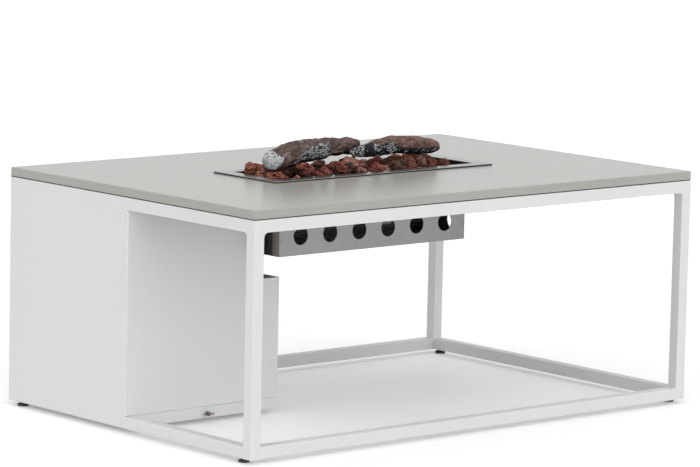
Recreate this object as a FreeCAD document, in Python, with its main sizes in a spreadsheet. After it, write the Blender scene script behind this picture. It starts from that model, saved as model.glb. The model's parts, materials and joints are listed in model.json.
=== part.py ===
import FreeCAD, Part
import math
import os
import random
import re
import Sketcher

# Fire pit table, 1200 x 800 mm, 500 mm to the top. Millimetres, Z up, origin on the floor
# under the middle. The open long side faces -Y, the closed end with the gas bottle faces -X.

V = FreeCAD.Vector
doc = FreeCAD.newDocument("fire_pit_table")
sheet = doc.addObject("Spreadsheet::Sheet", "Sizes")

SIZES = {
    # Whole table
    "table_length": 1200, "table_width": 800, "table_height": 500,
    "foot_lift": 9, "top_pad": 2,
    # Frame of square tube
    "tube_side": 25, "tube_wall": 1.5, "web_radius": 9, "cross_rail_place": 285,
    # Folded sheet metal table top
    "top_depth": 18, "top_sheet": 2, "top_return": 24, "top_round": 2, "top_corner": 3,
    "top_opening_gap": 3, "top_lip": 6, "pad_radius": 8, "pad_spread_x": 200, "pad_spread_y": 300,
    # Gas bottle compartment of folded sheet
    "bay_length": 400, "bay_width": 400, "sheet": 1.5, "fold_radius": 2.5, "relief": 3.5,
    "side_wall_top": 287, "notch_gap": 20, "wall_seam": 0.8,
    # Compartment door at the back
    "pivot_inset_x": 31, "pivot_inset_y": 4, "pivot_radius": 2, "door_edge": 3.7,
    "door_depth": 15, "door_gap": 3, "pin_reach": 5, "finger_radius": 15, "finger_inset": 34,
    "finger_height": 250, "washer_rim": 1.8, "catch_reach": 15, "catch_height": 40,
    "catch_base": 2, "catch_length": 22, "strike": 1,
    # Burner tray and housing, folded stainless sheet
    "flange_length": 600, "flange_width": 205, "flange_end": 30.5, "flange_side": 29,
    "flange_sheet": 1.5, "hem": 2, "box_inset_x": 12.5, "box_inset_y": 8.5,
    "box_bottom": 340.5, "box_sheet": 1.2,
    "vent_count": 6, "vent_pitch": 80, "vent_radius": 19.2, "vent_height": 381,
    "back_vent_count": 3, "port_height": 378, "port_place": -34, "port_radius": 23,
    "pan_height": 462, "ledge_leg": 12, "ledge_length": 480,
    # Burner and its gas parts
    "burner_radius": 8, "burner_bore": 7, "burner_length": 380, "burner_rise": 6,
    "slot_length": 14, "slot_width": 2, "slot_pitch": 36, "slot_count": 10,
    "saddle_length": 10, "saddle_width": 14, "saddle_place": 150,
    "injector_radius": 6, "injector_drop": 24, "injector_head": 9, "running_gap": 0.05,
    "electrode_place": 110, "probe_place": 90, "rod_offset": 15, "rod_radius": 3, "rod_top": 482,
    "rod_drop": 20, "rod_collar": 5,
    "gas_height": 385, "gas_line": 38, "pipe_radius": 4, "pipe_bend": 12.6, "pipe_rise": 28,
    "valve_place": 120, "valve_length": 36, "valve_width": 28, "valve_height": 32,
    "valve_neck": 9, "spindle_radius": 3, "spindle_reach": 20, "spindle_depth": 24,
    "knob_radius": 19, "knob_depth": 18, "knob_gap": 5, "knob_skirt": 6,
    "grip_length": 36, "grip_width": 11, "grip_corner": 3,
    "igniter_place": 200, "igniter_radius": 9, "igniter_length": 46, "igniter_stand": 4,
    "nut_radius": 13, "button_radius": 7, "button_reach": 9, "button_depth": 20,
    "inlet_place": 40, "inlet_thread": 6.58, "inlet_length": 14, "inlet_hex": 9,
    "inlet_hex_length": 8, "inlet_shoulder": 11,
    # Stone bed and ceramic logs
    "rock_columns": 12, "rock_half": 19.5, "rock_depth": 24, "rock_margin": 4, "seat_gap": 0.3, "log_sides": 12,
    # Levelling feet and their threaded inserts
    "foot_inset": 35, "foot_radius": 12, "foot_disc": 5, "foot_neck": 7, "stud_radius": 4,
    "stud_length": 20, "foot_gap": 0.4, "insert_rim": 9, "insert_plate": 1, "insert_radius": 6,
    "insert_length": 14,
    # Wing screw on the compartment beam
    "screw_place": -388, "screw_height": 18.5, "screw_radius": 3, "screw_length": 12,
    "screw_washer": 7, "screw_plate": 1, "screw_hub": 4.5, "screw_hub_length": 8,
    "wing_reach": 13, "wing_radius": 4.5, "wing_sheet": 2.5,
}

# Places and sizes that follow from the driving dimensions above
WORKED = {
    "half_length": "table_length / 2",
    "half_width": "table_width / 2",
    "frame_top": "table_height - top_depth - top_pad",
    "rail_top": "foot_lift + tube_side",
    "rail_under": "frame_top - tube_side",
    "inner_length": "table_length - 2 * tube_side",
    "inner_width": "table_width - 2 * tube_side",
    "wall_face": "half_width - bay_width",
    "side_face": "bay_length - half_length",
    "post_face": "half_width - tube_side",
    "bed_length": "flange_length - 2 * flange_end",
    "bed_width": "flange_width - 2 * flange_side",
    "box_length": "bed_length - 2 * box_inset_x",
    "box_width": "bed_width - 2 * box_inset_y",
    "pan_length": "bed_length + 2 * box_sheet",
    "pan_width": "bed_width + 2 * box_sheet",
    "opening_length": "pan_length + 2 * top_opening_gap",
    "opening_width": "pan_width + 2 * top_opening_gap",
    "flange_under": "table_height + hem",
    "box_half": "box_length / 2",
    "box_front": "box_width / 2",
    "pan_under": "pan_height - box_sheet",
    "burner_height": "pan_height + burner_rise + burner_radius",
    "pivot_x": "pivot_inset_x - half_length",
    "pivot_y": "half_width - pivot_inset_y",
    "door_bottom": "rail_top + door_gap",
    "door_height": "rail_under - rail_top - 2 * door_gap",
    "door_length": "side_face - pivot_x",
    "door_inner": "half_width - sheet",
    "catch_floor": "finger_height - catch_height / 2",
    "foot_line_x": "half_length - tube_side / 2",
    "foot_line_y": "half_width - foot_inset",
}

PIECES = []


def formula(text):
    """Turn plain size names into references to the sheet's cells."""
    def swap(match):
        word = match.group(0)
        if word in WORKED:
            return "(" + formula(WORKED[word]) + ")"
        return "Sizes." + word if word in SIZES else word
    return re.sub(r"[a-z_]+", swap, str(text))


def number(text):
    """The present value of a formula."""
    return float(sheet.evalExpression(formula(text)))


def fill_sheet():
    for line, (alias, size) in enumerate(SIZES.items(), 1):
        sheet.set("A%d" % line, alias)
        sheet.set("B%d" % line, repr(size))
        sheet.setAlias("B%d" % line, alias)
    doc.recompute()


# Helpers for bodies, sketches and features

SLANT = {"XY_Plane": 1, "XZ_Plane": -1, "YZ_Plane": 1}


def place(piece, x="0", y="0", z="0"):
    """Tie the piece's Placement to the sheet and list it as a sub-part."""
    for axis, text in zip("xyz", (x, y, z)):
        piece.setExpression("Placement.Base." + axis, formula(text))
    PIECES.append(piece)
    return piece


def new_body(label, x="0", y="0", z="0", turn=0, tilt=None):
    body = doc.addObject("PartDesign::Body", label)
    body.Label = label
    spin = FreeCAD.Rotation(V(0, 0, 1), turn)
    if tilt:
        spin = spin.multiply(FreeCAD.Rotation(V(*tilt[0]), tilt[1]))
    body.Placement = FreeCAD.Placement(V(), spin)
    return place(body, x, y, z)


def new_sketch(body, plane, at="0"):
    """A sketch on one of the body's origin planes, moved along that plane's axis to at."""
    sketch = body.newObject("Sketcher::SketchObject", body.Name + "_sketch")
    support = next(f for f in body.Origin.OriginFeatures if f.Role == plane)
    sketch.AttachmentSupport = (support, [""])
    sketch.MapMode = "FlatFace"
    sketch.setExpression("AttachmentOffset.Base.z", "%d * (%s)" % (SLANT[plane], formula(at)))
    sketch.Label2 = plane
    return sketch


def tie(sketch, kind, *rest):
    """Add one dimension whose value follows a formula."""
    *who, text = rest
    index = sketch.addConstraint(Sketcher.Constraint(kind, *who, number(text)))
    sketch.setExpression("Constraints[%d]" % index, formula(text))


def tie_point(sketch, geometry, end, x, y):
    tie(sketch, "DistanceX", -1, 1, geometry, end, x)
    tie(sketch, "DistanceY", -1, 1, geometry, end, y)


def polygon(sketch, corners):
    """A closed outline through corners given as pairs of formulas."""
    first = sketch.GeometryCount
    spots = [V(number(x), number(y), 0) for x, y in corners]
    count = len(spots)
    for i in range(count):
        sketch.addGeometry(Part.LineSegment(spots[i], spots[(i + 1) % count]), False)
    for i in range(count):
        following = first + (i + 1) % count
        sketch.addConstraint(Sketcher.Constraint("Coincident", first + i, 2, following, 1))
    for i, (x, y) in enumerate(corners):
        tie_point(sketch, first + i, 1, x, y)
    return sketch


def rectangle(sketch, x0, y0, x1, y1):
    return polygon(sketch, [(x0, y0), (x1, y0), (x1, y1), (x0, y1)])


def centred(sketch, width, depth):
    return rectangle(sketch, "-(%s) / 2" % width, "-(%s) / 2" % depth,
                     "(%s) / 2" % width, "(%s) / 2" % depth)


def circle(sketch, x, y, radius):
    spot = V(number(x), number(y), 0)
    index = sketch.addGeometry(Part.Circle(spot, V(0, 0, 1), number(radius)), False)
    tie_point(sketch, index, 3, x, y)
    tie(sketch, "Radius", index, radius)
    return sketch


def many_sided(sketch, radius, sides, x="0", y="0"):
    """A regular outline whose corners lie on a circle."""
    turns = [360 * i / sides for i in range(sides)]
    return polygon(sketch, [("%s + (%s) * cos(%g)" % (x, radius, turn),
                             "%s + (%s) * sin(%g)" % (y, radius, turn)) for turn in turns])


def extrude(kind, sketch, length=None, toward=1, both=False):
    """Pad or Pocket a sketch toward +1 or -1 along the axis its plane is square to."""
    body = sketch.getParentGeoFeatureGroup()
    step = body.newObject("PartDesign::" + kind, body.Name + "_" + kind.lower())
    step.Profile = sketch
    if length is None:
        step.Type = "ThroughAll"
    else:
        step.setExpression("Length", formula(length))
    if both:
        step.SideType = "Symmetric"
    natural = SLANT[sketch.Label2] * (1 if kind == "Pad" else -1)
    step.Reversed = toward * natural < 0
    body.Tip = step
    return step


def pad(sketch, length, toward=1, both=False):
    return extrude("Pad", sketch, length, toward, both)


def pocket(sketch, length=None, toward=1, both=False):
    return extrude("Pocket", sketch, length, toward, both)


def prism(body, radius, sides, low, high):
    """A many-sided block on the body's Z axis between two heights."""
    return pad(many_sided(new_sketch(body, "XY_Plane", low), radius, sides),
               "%s - (%s)" % (high, low))


def bore_through(body, radius):
    return pocket(circle(new_sketch(body, "XY_Plane"), "0", "0", radius), both=True)


def revolve(body, corners):
    """Turn an outline of (radius, height) corners about the body's Z axis."""
    sketch = polygon(new_sketch(body, "XZ_Plane"), corners)
    step = body.newObject("PartDesign::Revolution", body.Name + "_turned")
    step.Profile = sketch
    step.ReferenceAxis = (sketch, ["V_Axis"])
    step.Angle = 360
    body.Tip = step
    return step


def repeat_in_line(step, axis, length, count):
    body = step.getParentGeoFeatureGroup()
    row = body.newObject("PartDesign::LinearPattern", body.Name + "_row")
    row.Originals = [step]
    row.Direction = (step.Profile[0], [axis])
    row.setExpression("Length", formula(length))
    row.setExpression("Occurrences", formula(count))
    body.Tip = row
    return row


def edges_where(step, test):
    """Names of the edges of a feature that pass a test on the edge's own box."""
    doc.recompute()
    return ["Edge%d" % i for i, edge in enumerate(step.Shape.Edges, 1) if test(edge.BoundBox)]


def round_edges(step, radius, test, kind="Fillet"):
    body = step.getParentGeoFeatureGroup()
    names = edges_where(step, test)
    done = body.newObject("PartDesign::" + kind, body.Name + "_" + kind.lower())
    done.Base = (step, names)
    done.setExpression("Radius" if kind == "Fillet" else "Size", formula(radius))
    body.Tip = done
    return done


def near(a, b):
    return abs(a - b) < 0.01


def upright(box):
    return box.ZLength > 0.1 and box.XLength < 0.01 and box.YLength < 0.01


def made_shape(label, shape, x="0", y="0", z="0"):
    """A sub-part whose shape is built here from the sheet's values."""
    piece = doc.addObject("Part::Feature", label)
    piece.Label = label
    piece.Shape = shape
    return place(piece, x, y, z)


def side_facets(rings):
    """Flat triangles between each ring of corners and the next."""
    for low, high in zip(rings, rings[1:]):
        for i in range(len(low)):
            j = (i + 1) % len(low)
            yield [low[i], low[j], high[j]]
            yield [low[i], high[j], high[i]]


def skinned(rings):
    """A closed solid through rings of corners, its sides split into flat triangles."""
    outlines = [rings[0], rings[-1]] + list(side_facets(rings))
    faces = [Part.Face(Part.makePolygon(corners + corners[:1])) for corners in outlines]
    solid = Part.makeSolid(Part.makeShell(faces))
    if solid.Volume < 0:
        solid.reverse()
    return solid


def group(label, solids):
    """One node that holds several identical solids."""
    bundle = doc.addObject("Part::Compound", label)
    bundle.Label = label
    bundle.Links = solids
    return place(bundle)


def rod(name, radius, length, x="0", y="0", z="0"):
    """A plain round solid standing on its base, for groups."""
    piece = doc.addObject("Part::Cylinder", name)
    piece.setExpression("Radius", formula(radius))
    piece.setExpression("Height", formula(length))
    for axis, text in zip("xyz", (x, y, z)):
        piece.setExpression("Placement.Base." + axis, formula(text))
    return piece


# Frame of welded square tube

def corner_web(sketch, corner_x, corner_z, side):
    """The rounded weld web that fills the corner between a top rail and a post."""
    reach = "%s + %d * web_radius" % (corner_x, side)
    drop = "%s - web_radius" % corner_z
    corner = V(number(corner_x), number(corner_z), 0)
    inner = V(number(reach), number(corner_z), 0)
    lower = V(number(corner_x), number(drop), 0)
    centre = V(inner.x, lower.y, 0)
    radius = number("web_radius")
    start = 90 if side > 0 else 0
    first = sketch.GeometryCount
    sketch.addGeometry(Part.LineSegment(corner, inner), False)
    sketch.addGeometry(Part.LineSegment(lower, corner), False)
    ring = Part.Circle(centre, V(0, 0, 1), radius)
    sketch.addGeometry(
        Part.ArcOfCircle(ring, math.radians(start), math.radians(start + 90)), False)
    arc_at_inner = 1 if side > 0 else 2
    arc_at_lower = 3 - arc_at_inner
    sketch.addConstraint(Sketcher.Constraint("Coincident", first + 1, 2, first, 1))
    sketch.addConstraint(Sketcher.Constraint("Coincident", first, 2, first + 2, arc_at_inner))
    sketch.addConstraint(Sketcher.Constraint("Coincident", first + 1, 1, first + 2, arc_at_lower))
    tie_point(sketch, first, 1, corner_x, corner_z)
    tie_point(sketch, first, 2, reach, corner_z)
    tie_point(sketch, first + 1, 1, corner_x, drop)
    tie(sketch, "Radius", first + 2, "web_radius")


def square_tube(body, length):
    """Tube along the body's X axis, centred, with its underside on the body's Z zero."""
    low, high = "-tube_side / 2", "tube_side / 2"
    outer = rectangle(new_sketch(body, "YZ_Plane"), low, "0", high, "tube_side")
    pad(outer, length, both=True)
    bore = new_sketch(body, "YZ_Plane")
    rectangle(bore, low + " + tube_wall", "tube_wall", high + " - tube_wall",
              "tube_side - tube_wall")
    return pocket(bore, both=True)


def make_post(label, side_x, side_y):
    body = new_body(label, "%d * (half_length - tube_side / 2)" % side_x,
                    "%d * (half_width - tube_side / 2)" % side_y, "foot_lift")
    pad(centred(new_sketch(body, "XY_Plane"), "tube_side", "tube_side"), "frame_top - foot_lift")
    bore = new_sketch(body, "XY_Plane", "tube_wall")
    pocket(centred(bore, "tube_side - 2 * tube_wall", "tube_side - 2 * tube_wall"))


def make_top_rail(label, length, x, y, turn, web_ends):
    body = new_body(label, x, y, "rail_under", turn)
    square_tube(body, length)
    webs = new_sketch(body, "XZ_Plane")
    for end in web_ends:
        corner_web(webs, "%d * (%s) / 2" % (end, length), "0", -end)
    pad(webs, "tube_side", both=True)


def make_low_rail(label, length, x, y, turn, foot_sides=()):
    body = new_body(label, x, y, "foot_lift", turn)
    square_tube(body, length)
    if foot_sides:
        holes = new_sketch(body, "XY_Plane")
        for side in foot_sides:
            circle(holes, "%d * foot_line_y" % side, "0", "insert_radius + running_gap")
        pocket(holes, "tube_wall")


def make_beam(label, length, x, y, turn, z="foot_lift"):
    body = new_body(label, x, y, z, turn)
    square_tube(body, length)
    return body


def make_frame():
    for end, side_x in (("left", -1), ("right", 1)):
        for face, side_y in (("front", -1), ("back", 1)):
            make_post("%s_%s_post" % (face, end), side_x, side_y)
    for face, side in (("front", -1), ("back", 1)):
        line = "%d * (half_width - tube_side / 2)" % side
        ends = (-1, 1) if face == "front" else (1,)
        make_top_rail(face + "_top_rail", "inner_length", "0", line, 0, ends)
        make_low_rail(face + "_bottom_rail", "inner_length", "0", line, 0)
    for end, side in (("left", -1), ("right", 1)):
        line = "%d * (half_length - tube_side / 2)" % side
        ends = (-1, 1) if end == "right" else (-1,)
        make_top_rail(end + "_top_rail", "inner_width", line, "0", 90, ends)
        make_low_rail(end + "_bottom_rail", "inner_width", line, "0", 90, (-1, 1))
        make_beam(end + "_cross_rail", "inner_width", "%d * cross_rail_place" % side, "0", 90,
                  "rail_under")
    front_beam = make_beam("compartment_front_beam", "bay_length - tube_side",
                           "(side_face - half_length + tube_side) / 2",
                           "wall_face + tube_side / 2", 0)
    hole = new_sketch(front_beam, "XZ_Plane", "-tube_side / 2")
    circle(hole, "screw_place - (side_face - half_length + tube_side) / 2",
           "screw_height - foot_lift", "screw_radius + running_gap")
    pocket(hole, "tube_wall")
    make_beam("compartment_side_beam", "bay_width - 2 * tube_side",
              "side_face - tube_side / 2", "(wall_face + half_width) / 2", 90)


# Table top

def make_table_top():
    """Folded tray with skirts, bottom returns and a lipped opening for the burner."""
    body = new_body("table_top", z="table_height - top_depth")
    slab = pad(centred(new_sketch(body, "XY_Plane"), "table_length", "table_width"), "top_depth")
    slab = round_edges(slab, "top_corner", upright)
    round_edges(slab, "top_round", lambda box: near(box.ZMin, number("top_depth")))
    hollow = new_sketch(body, "XY_Plane", "top_sheet")
    centred(hollow, "table_length - 2 * top_sheet", "table_width - 2 * top_sheet")
    centred(hollow, "opening_length + 2 * top_sheet", "opening_width + 2 * top_sheet")
    pocket(hollow, "top_depth - 2 * top_sheet")
    window = new_sketch(body, "XY_Plane")
    centred(window, "table_length - 2 * top_return", "table_width - 2 * top_return")
    centred(window, "opening_length + 2 * top_lip", "opening_width + 2 * top_lip")
    pocket(window, "top_sheet")
    opening = new_sketch(body, "XY_Plane")
    pocket(centred(opening, "opening_length", "opening_width"))


def make_top_pads():
    """Soft pads that leave the dark line between the frame and the top."""
    spots = [("%d * (half_length - tube_side / 2)" % side, "%d * pad_spread_y" % row)
             for side in (-1, 1) for row in (-1, 0, 1)]
    spots += [("%d * pad_spread_x" % row, "%d * (half_width - tube_side / 2)" % side)
              for side in (-1, 1) for row in (-1, 1)]
    pads = []
    for i, (x, y) in enumerate(spots, 1):
        block = doc.addObject("Part::Box", "pad_%d" % i)
        for side, size in (("Length", "2 * pad_radius"), ("Width", "2 * pad_radius"),
                           ("Height", "top_pad")):
            block.setExpression(side, formula(size))
        for axis, text in zip("xyz", (x + " - pad_radius", y + " - pad_radius", "frame_top")):
            block.setExpression("Placement.Base." + axis, formula(text))
        pads.append(block)
    group("top_pads", pads)


# Gas bottle compartment

def make_compartment_shell():
    """End panel, front wall and low side wall folded from one sheet."""
    body = new_body("compartment_shell", z="rail_top")
    plan = new_sketch(body, "XY_Plane")
    polygon(plan, [
        ("-half_length", "post_face"), ("-half_length", "wall_face"),
        ("side_face", "wall_face"), ("side_face", "post_face"),
        ("side_face - sheet", "post_face"), ("side_face - sheet", "wall_face + sheet"),
        ("-half_length + sheet", "wall_face + sheet"), ("-half_length + sheet", "post_face")])
    wall = pad(plan, "rail_under - rail_top")

    def outer_fold(box):
        at_fold = near(box.XMin, number("-half_length")) or near(box.XMin, number("side_face"))
        return upright(box) and at_fold and near(box.YMin, number("wall_face"))

    def inner_fold(box):
        left = near(box.XMin, number("-half_length + sheet"))
        right = near(box.XMin, number("side_face - sheet"))
        return upright(box) and (left or right) and near(box.YMin, number("wall_face + sheet"))

    wall = round_edges(wall, "fold_radius", outer_fold)
    wall = round_edges(wall, "fold_radius - sheet", inner_fold)
    step = new_sketch(body, "XZ_Plane", "wall_face")
    rectangle(step, "-box_half - notch_gap", "side_wall_top - rail_top",
              "side_face + fold_radius", "rail_under - rail_top + 1")
    pocket(step, toward=1)
    seam = new_sketch(body, "XZ_Plane", "wall_face")
    rectangle(seam, "-half_length + relief", "0", "side_face - relief", "wall_seam")
    pocket(seam, "2 * sheet", toward=1)
    relief = new_sketch(body, "XZ_Plane", "wall_face - sheet")
    top = "rail_under - rail_top"
    rectangle(relief, "-half_length - 1", "0", "-half_length + relief", "relief / 2")
    rectangle(relief, "-half_length - 1", top + " - relief / 2", "-half_length + relief", top)
    pocket(relief, "relief + sheet", toward=1)


def make_floor_plate():
    """Bottom plate that carries the gas bottle."""
    body = new_body("compartment_floor", z="rail_top")
    plan = rectangle(new_sketch(body, "XY_Plane"), "-half_length + sheet", "wall_face + sheet",
                     "side_face - sheet", "post_face")
    plate = pad(plan, "sheet")
    inside = "fold_radius - sheet"
    round_edges(plate, inside,
                lambda box: upright(box) and near(box.YMin, number("wall_face + sheet")))


def make_door():
    """Shallow folded door on two pivot pins, in a frame of its own round the pivot."""
    body = new_body("compartment_door", "pivot_x", "pivot_y", "door_bottom")
    plan = rectangle(new_sketch(body, "XY_Plane"), "-door_edge", "pivot_inset_y - door_depth",
                     "door_length", "pivot_inset_y")
    leaf = pad(plan, "door_height")
    leaf = round_edges(leaf, "sheet", lambda box: upright(box)
                       and near(box.YMin, number("pivot_inset_y")))
    inside = new_sketch(body, "XZ_Plane", "pivot_inset_y - door_depth")
    rectangle(inside, "-door_edge + sheet", "sheet", "door_length - sheet", "door_height - sheet")
    pocket(inside, "door_depth - sheet", toward=1)
    pivots = circle(new_sketch(body, "XY_Plane"), "0", "0", "pivot_radius + running_gap")
    pocket(pivots)
    finger = new_sketch(body, "XZ_Plane", "0")
    circle(finger, "door_length - finger_inset", "finger_height - door_bottom", "finger_radius")
    pocket(finger, toward=1)


def make_door_fittings():
    reach = "door_gap + sheet + pin_reach"
    low = rod("pivot_low", "pivot_radius", reach, "pivot_x", "pivot_y", "rail_top")
    high = rod("pivot_high", "pivot_radius", reach, "pivot_x", "pivot_y",
               "rail_under - (%s)" % reach)
    group("door_pivot_pins", [low, high])
    washer = new_body("door_washer", "pivot_x", "pivot_y", "rail_top")
    prism(washer, "pivot_radius + washer_rim", 16, "0", "door_gap")
    bore_through(washer, "pivot_radius + running_gap")
    catch = new_body("magnetic_catch", "side_face - sheet", "door_inner - strike - seat_gap",
                     "catch_floor")
    outline = new_sketch(catch, "XY_Plane")
    polygon(outline, [
        ("0", "-catch_length - door_depth"), ("0", "-door_depth - catch_base"),
        ("-catch_base", "-door_depth - catch_base"), ("-catch_base", "0"),
        ("-catch_reach", "0"), ("-catch_reach", "-catch_length"),
        ("-catch_base", "-catch_length"), ("-catch_base", "-catch_length - door_depth")])
    pad(outline, "catch_height")
    strike = new_body("strike_plate", "side_face - sheet - catch_reach", "door_inner - strike",
                      "catch_floor")
    plate = rectangle(new_sketch(strike, "XY_Plane"), "0", "0", "catch_reach - catch_base",
                      "strike")
    slip = pad(plate, "catch_height")
    round_edges(slip, "strike", lambda box: box.YLength > 0.5 and box.ZLength < 0.01
                and box.XLength < 0.01)


# Burner tray and housing

def make_flange():
    body = new_body("burner_flange", z="flange_under")
    ring = new_sketch(body, "XY_Plane")
    centred(ring, "flange_length", "flange_width")
    centred(ring, "bed_length", "bed_width")
    plate = pad(ring, "flange_sheet")
    plate = round_edges(plate, "flange_sheet", lambda box: upright(box)
                        and near(abs(box.XMin), number("flange_length / 2")))
    hem = new_sketch(body, "XY_Plane")
    inset = "2 * flange_sheet"
    centred(hem, "flange_length - " + inset, "flange_width - " + inset)
    centred(hem, "flange_length - 2 * (%s)" % inset, "flange_width - 2 * (%s)" % inset)
    pad(hem, "hem", toward=-1)


def make_burner_box():
    """Folded housing under the pan with a row of round air vents and the control holes."""
    body = new_body("burner_box", z="box_bottom")
    height = "pan_under - box_bottom"
    block = pad(centred(new_sketch(body, "XY_Plane"), "box_length", "box_width"), height)
    round_edges(block, "box_sheet / 2", lambda box: near(box.ZMax, 0), "Chamfer")
    hollow = new_sketch(body, "XY_Plane", "box_sheet")
    pocket(centred(hollow, "box_length - 2 * box_sheet", "box_width - 2 * box_sheet"))
    vent = new_sketch(body, "XZ_Plane", "-box_front")
    circle(vent, "-(vent_count - 1) * vent_pitch / 2", "vent_height - box_bottom", "vent_radius")
    cut = pocket(vent, "2 * box_sheet", toward=1)
    repeat_in_line(cut, "H_Axis", "(vent_count - 1) * vent_pitch", "vent_count")
    rear = new_sketch(body, "XZ_Plane", "box_front")
    circle(rear, "-(vent_count - 1) * vent_pitch / 2", "vent_height - box_bottom", "vent_radius")
    cut = pocket(rear, "2 * box_sheet", toward=-1)
    repeat_in_line(cut, "H_Axis", "(back_vent_count - 1) * vent_pitch", "back_vent_count")
    controls = new_sketch(body, "XZ_Plane", "box_front")
    circle(controls, "valve_place", "gas_height - box_bottom", "valve_neck + seat_gap")
    circle(controls, "igniter_place", "gas_height - box_bottom", "igniter_radius + seat_gap")
    circle(controls, "inlet_place", "gas_height - box_bottom", "inlet_thread + running_gap")
    pocket(controls, "2 * box_sheet", toward=-1)
    port = new_sketch(body, "YZ_Plane", "box_half")
    circle(port, "port_place", "port_height - box_bottom", "port_radius")
    pocket(port, "2 * box_sheet", toward=-1)


def make_rock_pan():
    """Deep tray that hangs from the flange and carries the box, the burner and the stones."""
    body = new_body("rock_pan", z="pan_under")
    block = pad(centred(new_sketch(body, "XY_Plane"), "pan_length", "pan_width"),
                "flange_under - pan_under")
    round_edges(block, "box_sheet / 2", lambda box: near(box.ZMax, 0), "Chamfer")
    hollow = new_sketch(body, "XY_Plane", "box_sheet")
    pocket(centred(hollow, "pan_length - 2 * box_sheet", "pan_width - 2 * box_sheet"))
    holes = new_sketch(body, "XY_Plane")
    circle(holes, "0", "0", "injector_radius + running_gap")
    circle(holes, "electrode_place", "rod_offset", "rod_radius + running_gap")
    circle(holes, "probe_place", "-rod_offset", "rod_radius + running_gap")
    pocket(holes, "box_sheet")


def make_pan_ledges():
    """Two angle strips on the box's long walls that the pan rests on."""
    body = new_body("pan_ledges", z="pan_under")
    wall = "(box_front - box_sheet)"
    for side in (-1, 1):
        angle = new_sketch(body, "YZ_Plane")
        polygon(angle, [("%d * %s" % (side, wall), "0"),
                        ("%d * (%s - ledge_leg)" % (side, wall), "0"),
                        ("%d * (%s - ledge_leg)" % (side, wall), "-box_sheet"),
                        ("%d * (%s - box_sheet)" % (side, wall), "-box_sheet"),
                        ("%d * (%s - box_sheet)" % (side, wall), "-ledge_leg"),
                        ("%d * %s" % (side, wall), "-ledge_leg")])
        pad(angle, "ledge_length", both=True)


# Burner and gas parts

def make_burner_tube():
    """Closed stainless tube with a row of flame slots along its top."""
    body = new_body("burner_tube", z="burner_height")
    pad(circle(new_sketch(body, "YZ_Plane"), "0", "0", "burner_radius"), "burner_length",
        both=True)
    bore = new_sketch(body, "YZ_Plane")
    circle(bore, "0", "0", "burner_bore")
    pocket(bore, "burner_length - 4 * (burner_radius - burner_bore)", both=True)
    feed = circle(new_sketch(body, "XY_Plane"), "0", "0", "injector_radius - 2")
    pocket(feed, toward=-1)
    first = "-(slot_count - 1) * slot_pitch / 2"
    slot = rectangle(new_sketch(body, "XY_Plane"), first + " - slot_length / 2", "-slot_width / 2",
                     first + " + slot_length / 2", "slot_width / 2")
    cut = pocket(slot, toward=1)
    repeat_in_line(cut, "H_Axis", "(slot_count - 1) * slot_pitch", "slot_count")


def make_saddles():
    body = new_body("burner_saddles", z="pan_height")
    for side in (-1, 1):
        spot = "%d * saddle_place" % side
        seat = new_sketch(body, "XY_Plane")
        rectangle(seat, spot + " - saddle_length / 2", "-saddle_width / 2",
                  spot + " + saddle_length / 2", "saddle_width / 2")
        pad(seat, "burner_rise + burner_radius / 2")
    cradle = new_sketch(body, "YZ_Plane")
    circle(cradle, "0", "burner_height - pan_height", "burner_radius")
    pocket(cradle, both=True)


def make_injector():
    """Nozzle with a hexagon head that feeds the burner tube up through the pan."""
    body = new_body("gas_injector", z="burner_height - burner_radius")
    head = "-burner_rise - box_sheet"
    prism(body, "injector_head", 6, "-injector_drop", head)
    pad(circle(new_sketch(body, "XY_Plane", head), "0", "0", "injector_radius"),
        "burner_rise + box_sheet")
    bore_through(body, "pipe_radius / 2")


def make_rods():
    """Spark electrode and flame sensor, each with a collar under the pan."""
    for label, spot, line in (("ignition_electrode", "electrode_place", "rod_offset"),
                              ("flame_sensor", "probe_place", "-rod_offset")):
        body = new_body(label, spot, line, "pan_under")
        prism(body, "rod_radius", 12, "-rod_drop", "rod_top - pan_under")
        prism(body, "rod_collar", 12, "-rod_collar", "0")


def make_valve():
    """Valve block whose threaded neck stands through the rear wall of the box."""
    body = new_body("gas_valve", "valve_place", "0", "gas_height")
    inner = "box_front - box_sheet"
    block = new_sketch(body, "XZ_Plane", inner)
    centred(block, "valve_length", "valve_height")
    shape = pad(block, "valve_width", toward=-1)
    round_edges(shape, "valve_neck / 4", lambda box: box.YLength > 1, "Chamfer")
    neck = many_sided(new_sketch(body, "XZ_Plane", inner), "valve_neck", 12)
    pad(neck, "box_sheet + seat_gap", toward=1)
    bore = circle(new_sketch(body, "XZ_Plane", "box_front + seat_gap"), "0", "0",
                  "spindle_radius + running_gap")
    pocket(bore, "spindle_depth", toward=-1)
    outlet = many_sided(new_sketch(body, "XY_Plane", "valve_height / 2"), "pipe_radius + 3", 6,
                        y="gas_line")
    pad(outlet, "pipe_radius")


def make_spindle():
    body = new_body("valve_spindle", "valve_place", "box_front", "gas_height",
                    tilt=((1, 0, 0), -90))
    start = "-spindle_depth + knob_gap + running_gap"
    revolve(body, [("0", start), ("spindle_radius", start), ("spindle_radius", "spindle_reach"),
                   ("0", "spindle_reach")])


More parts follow.
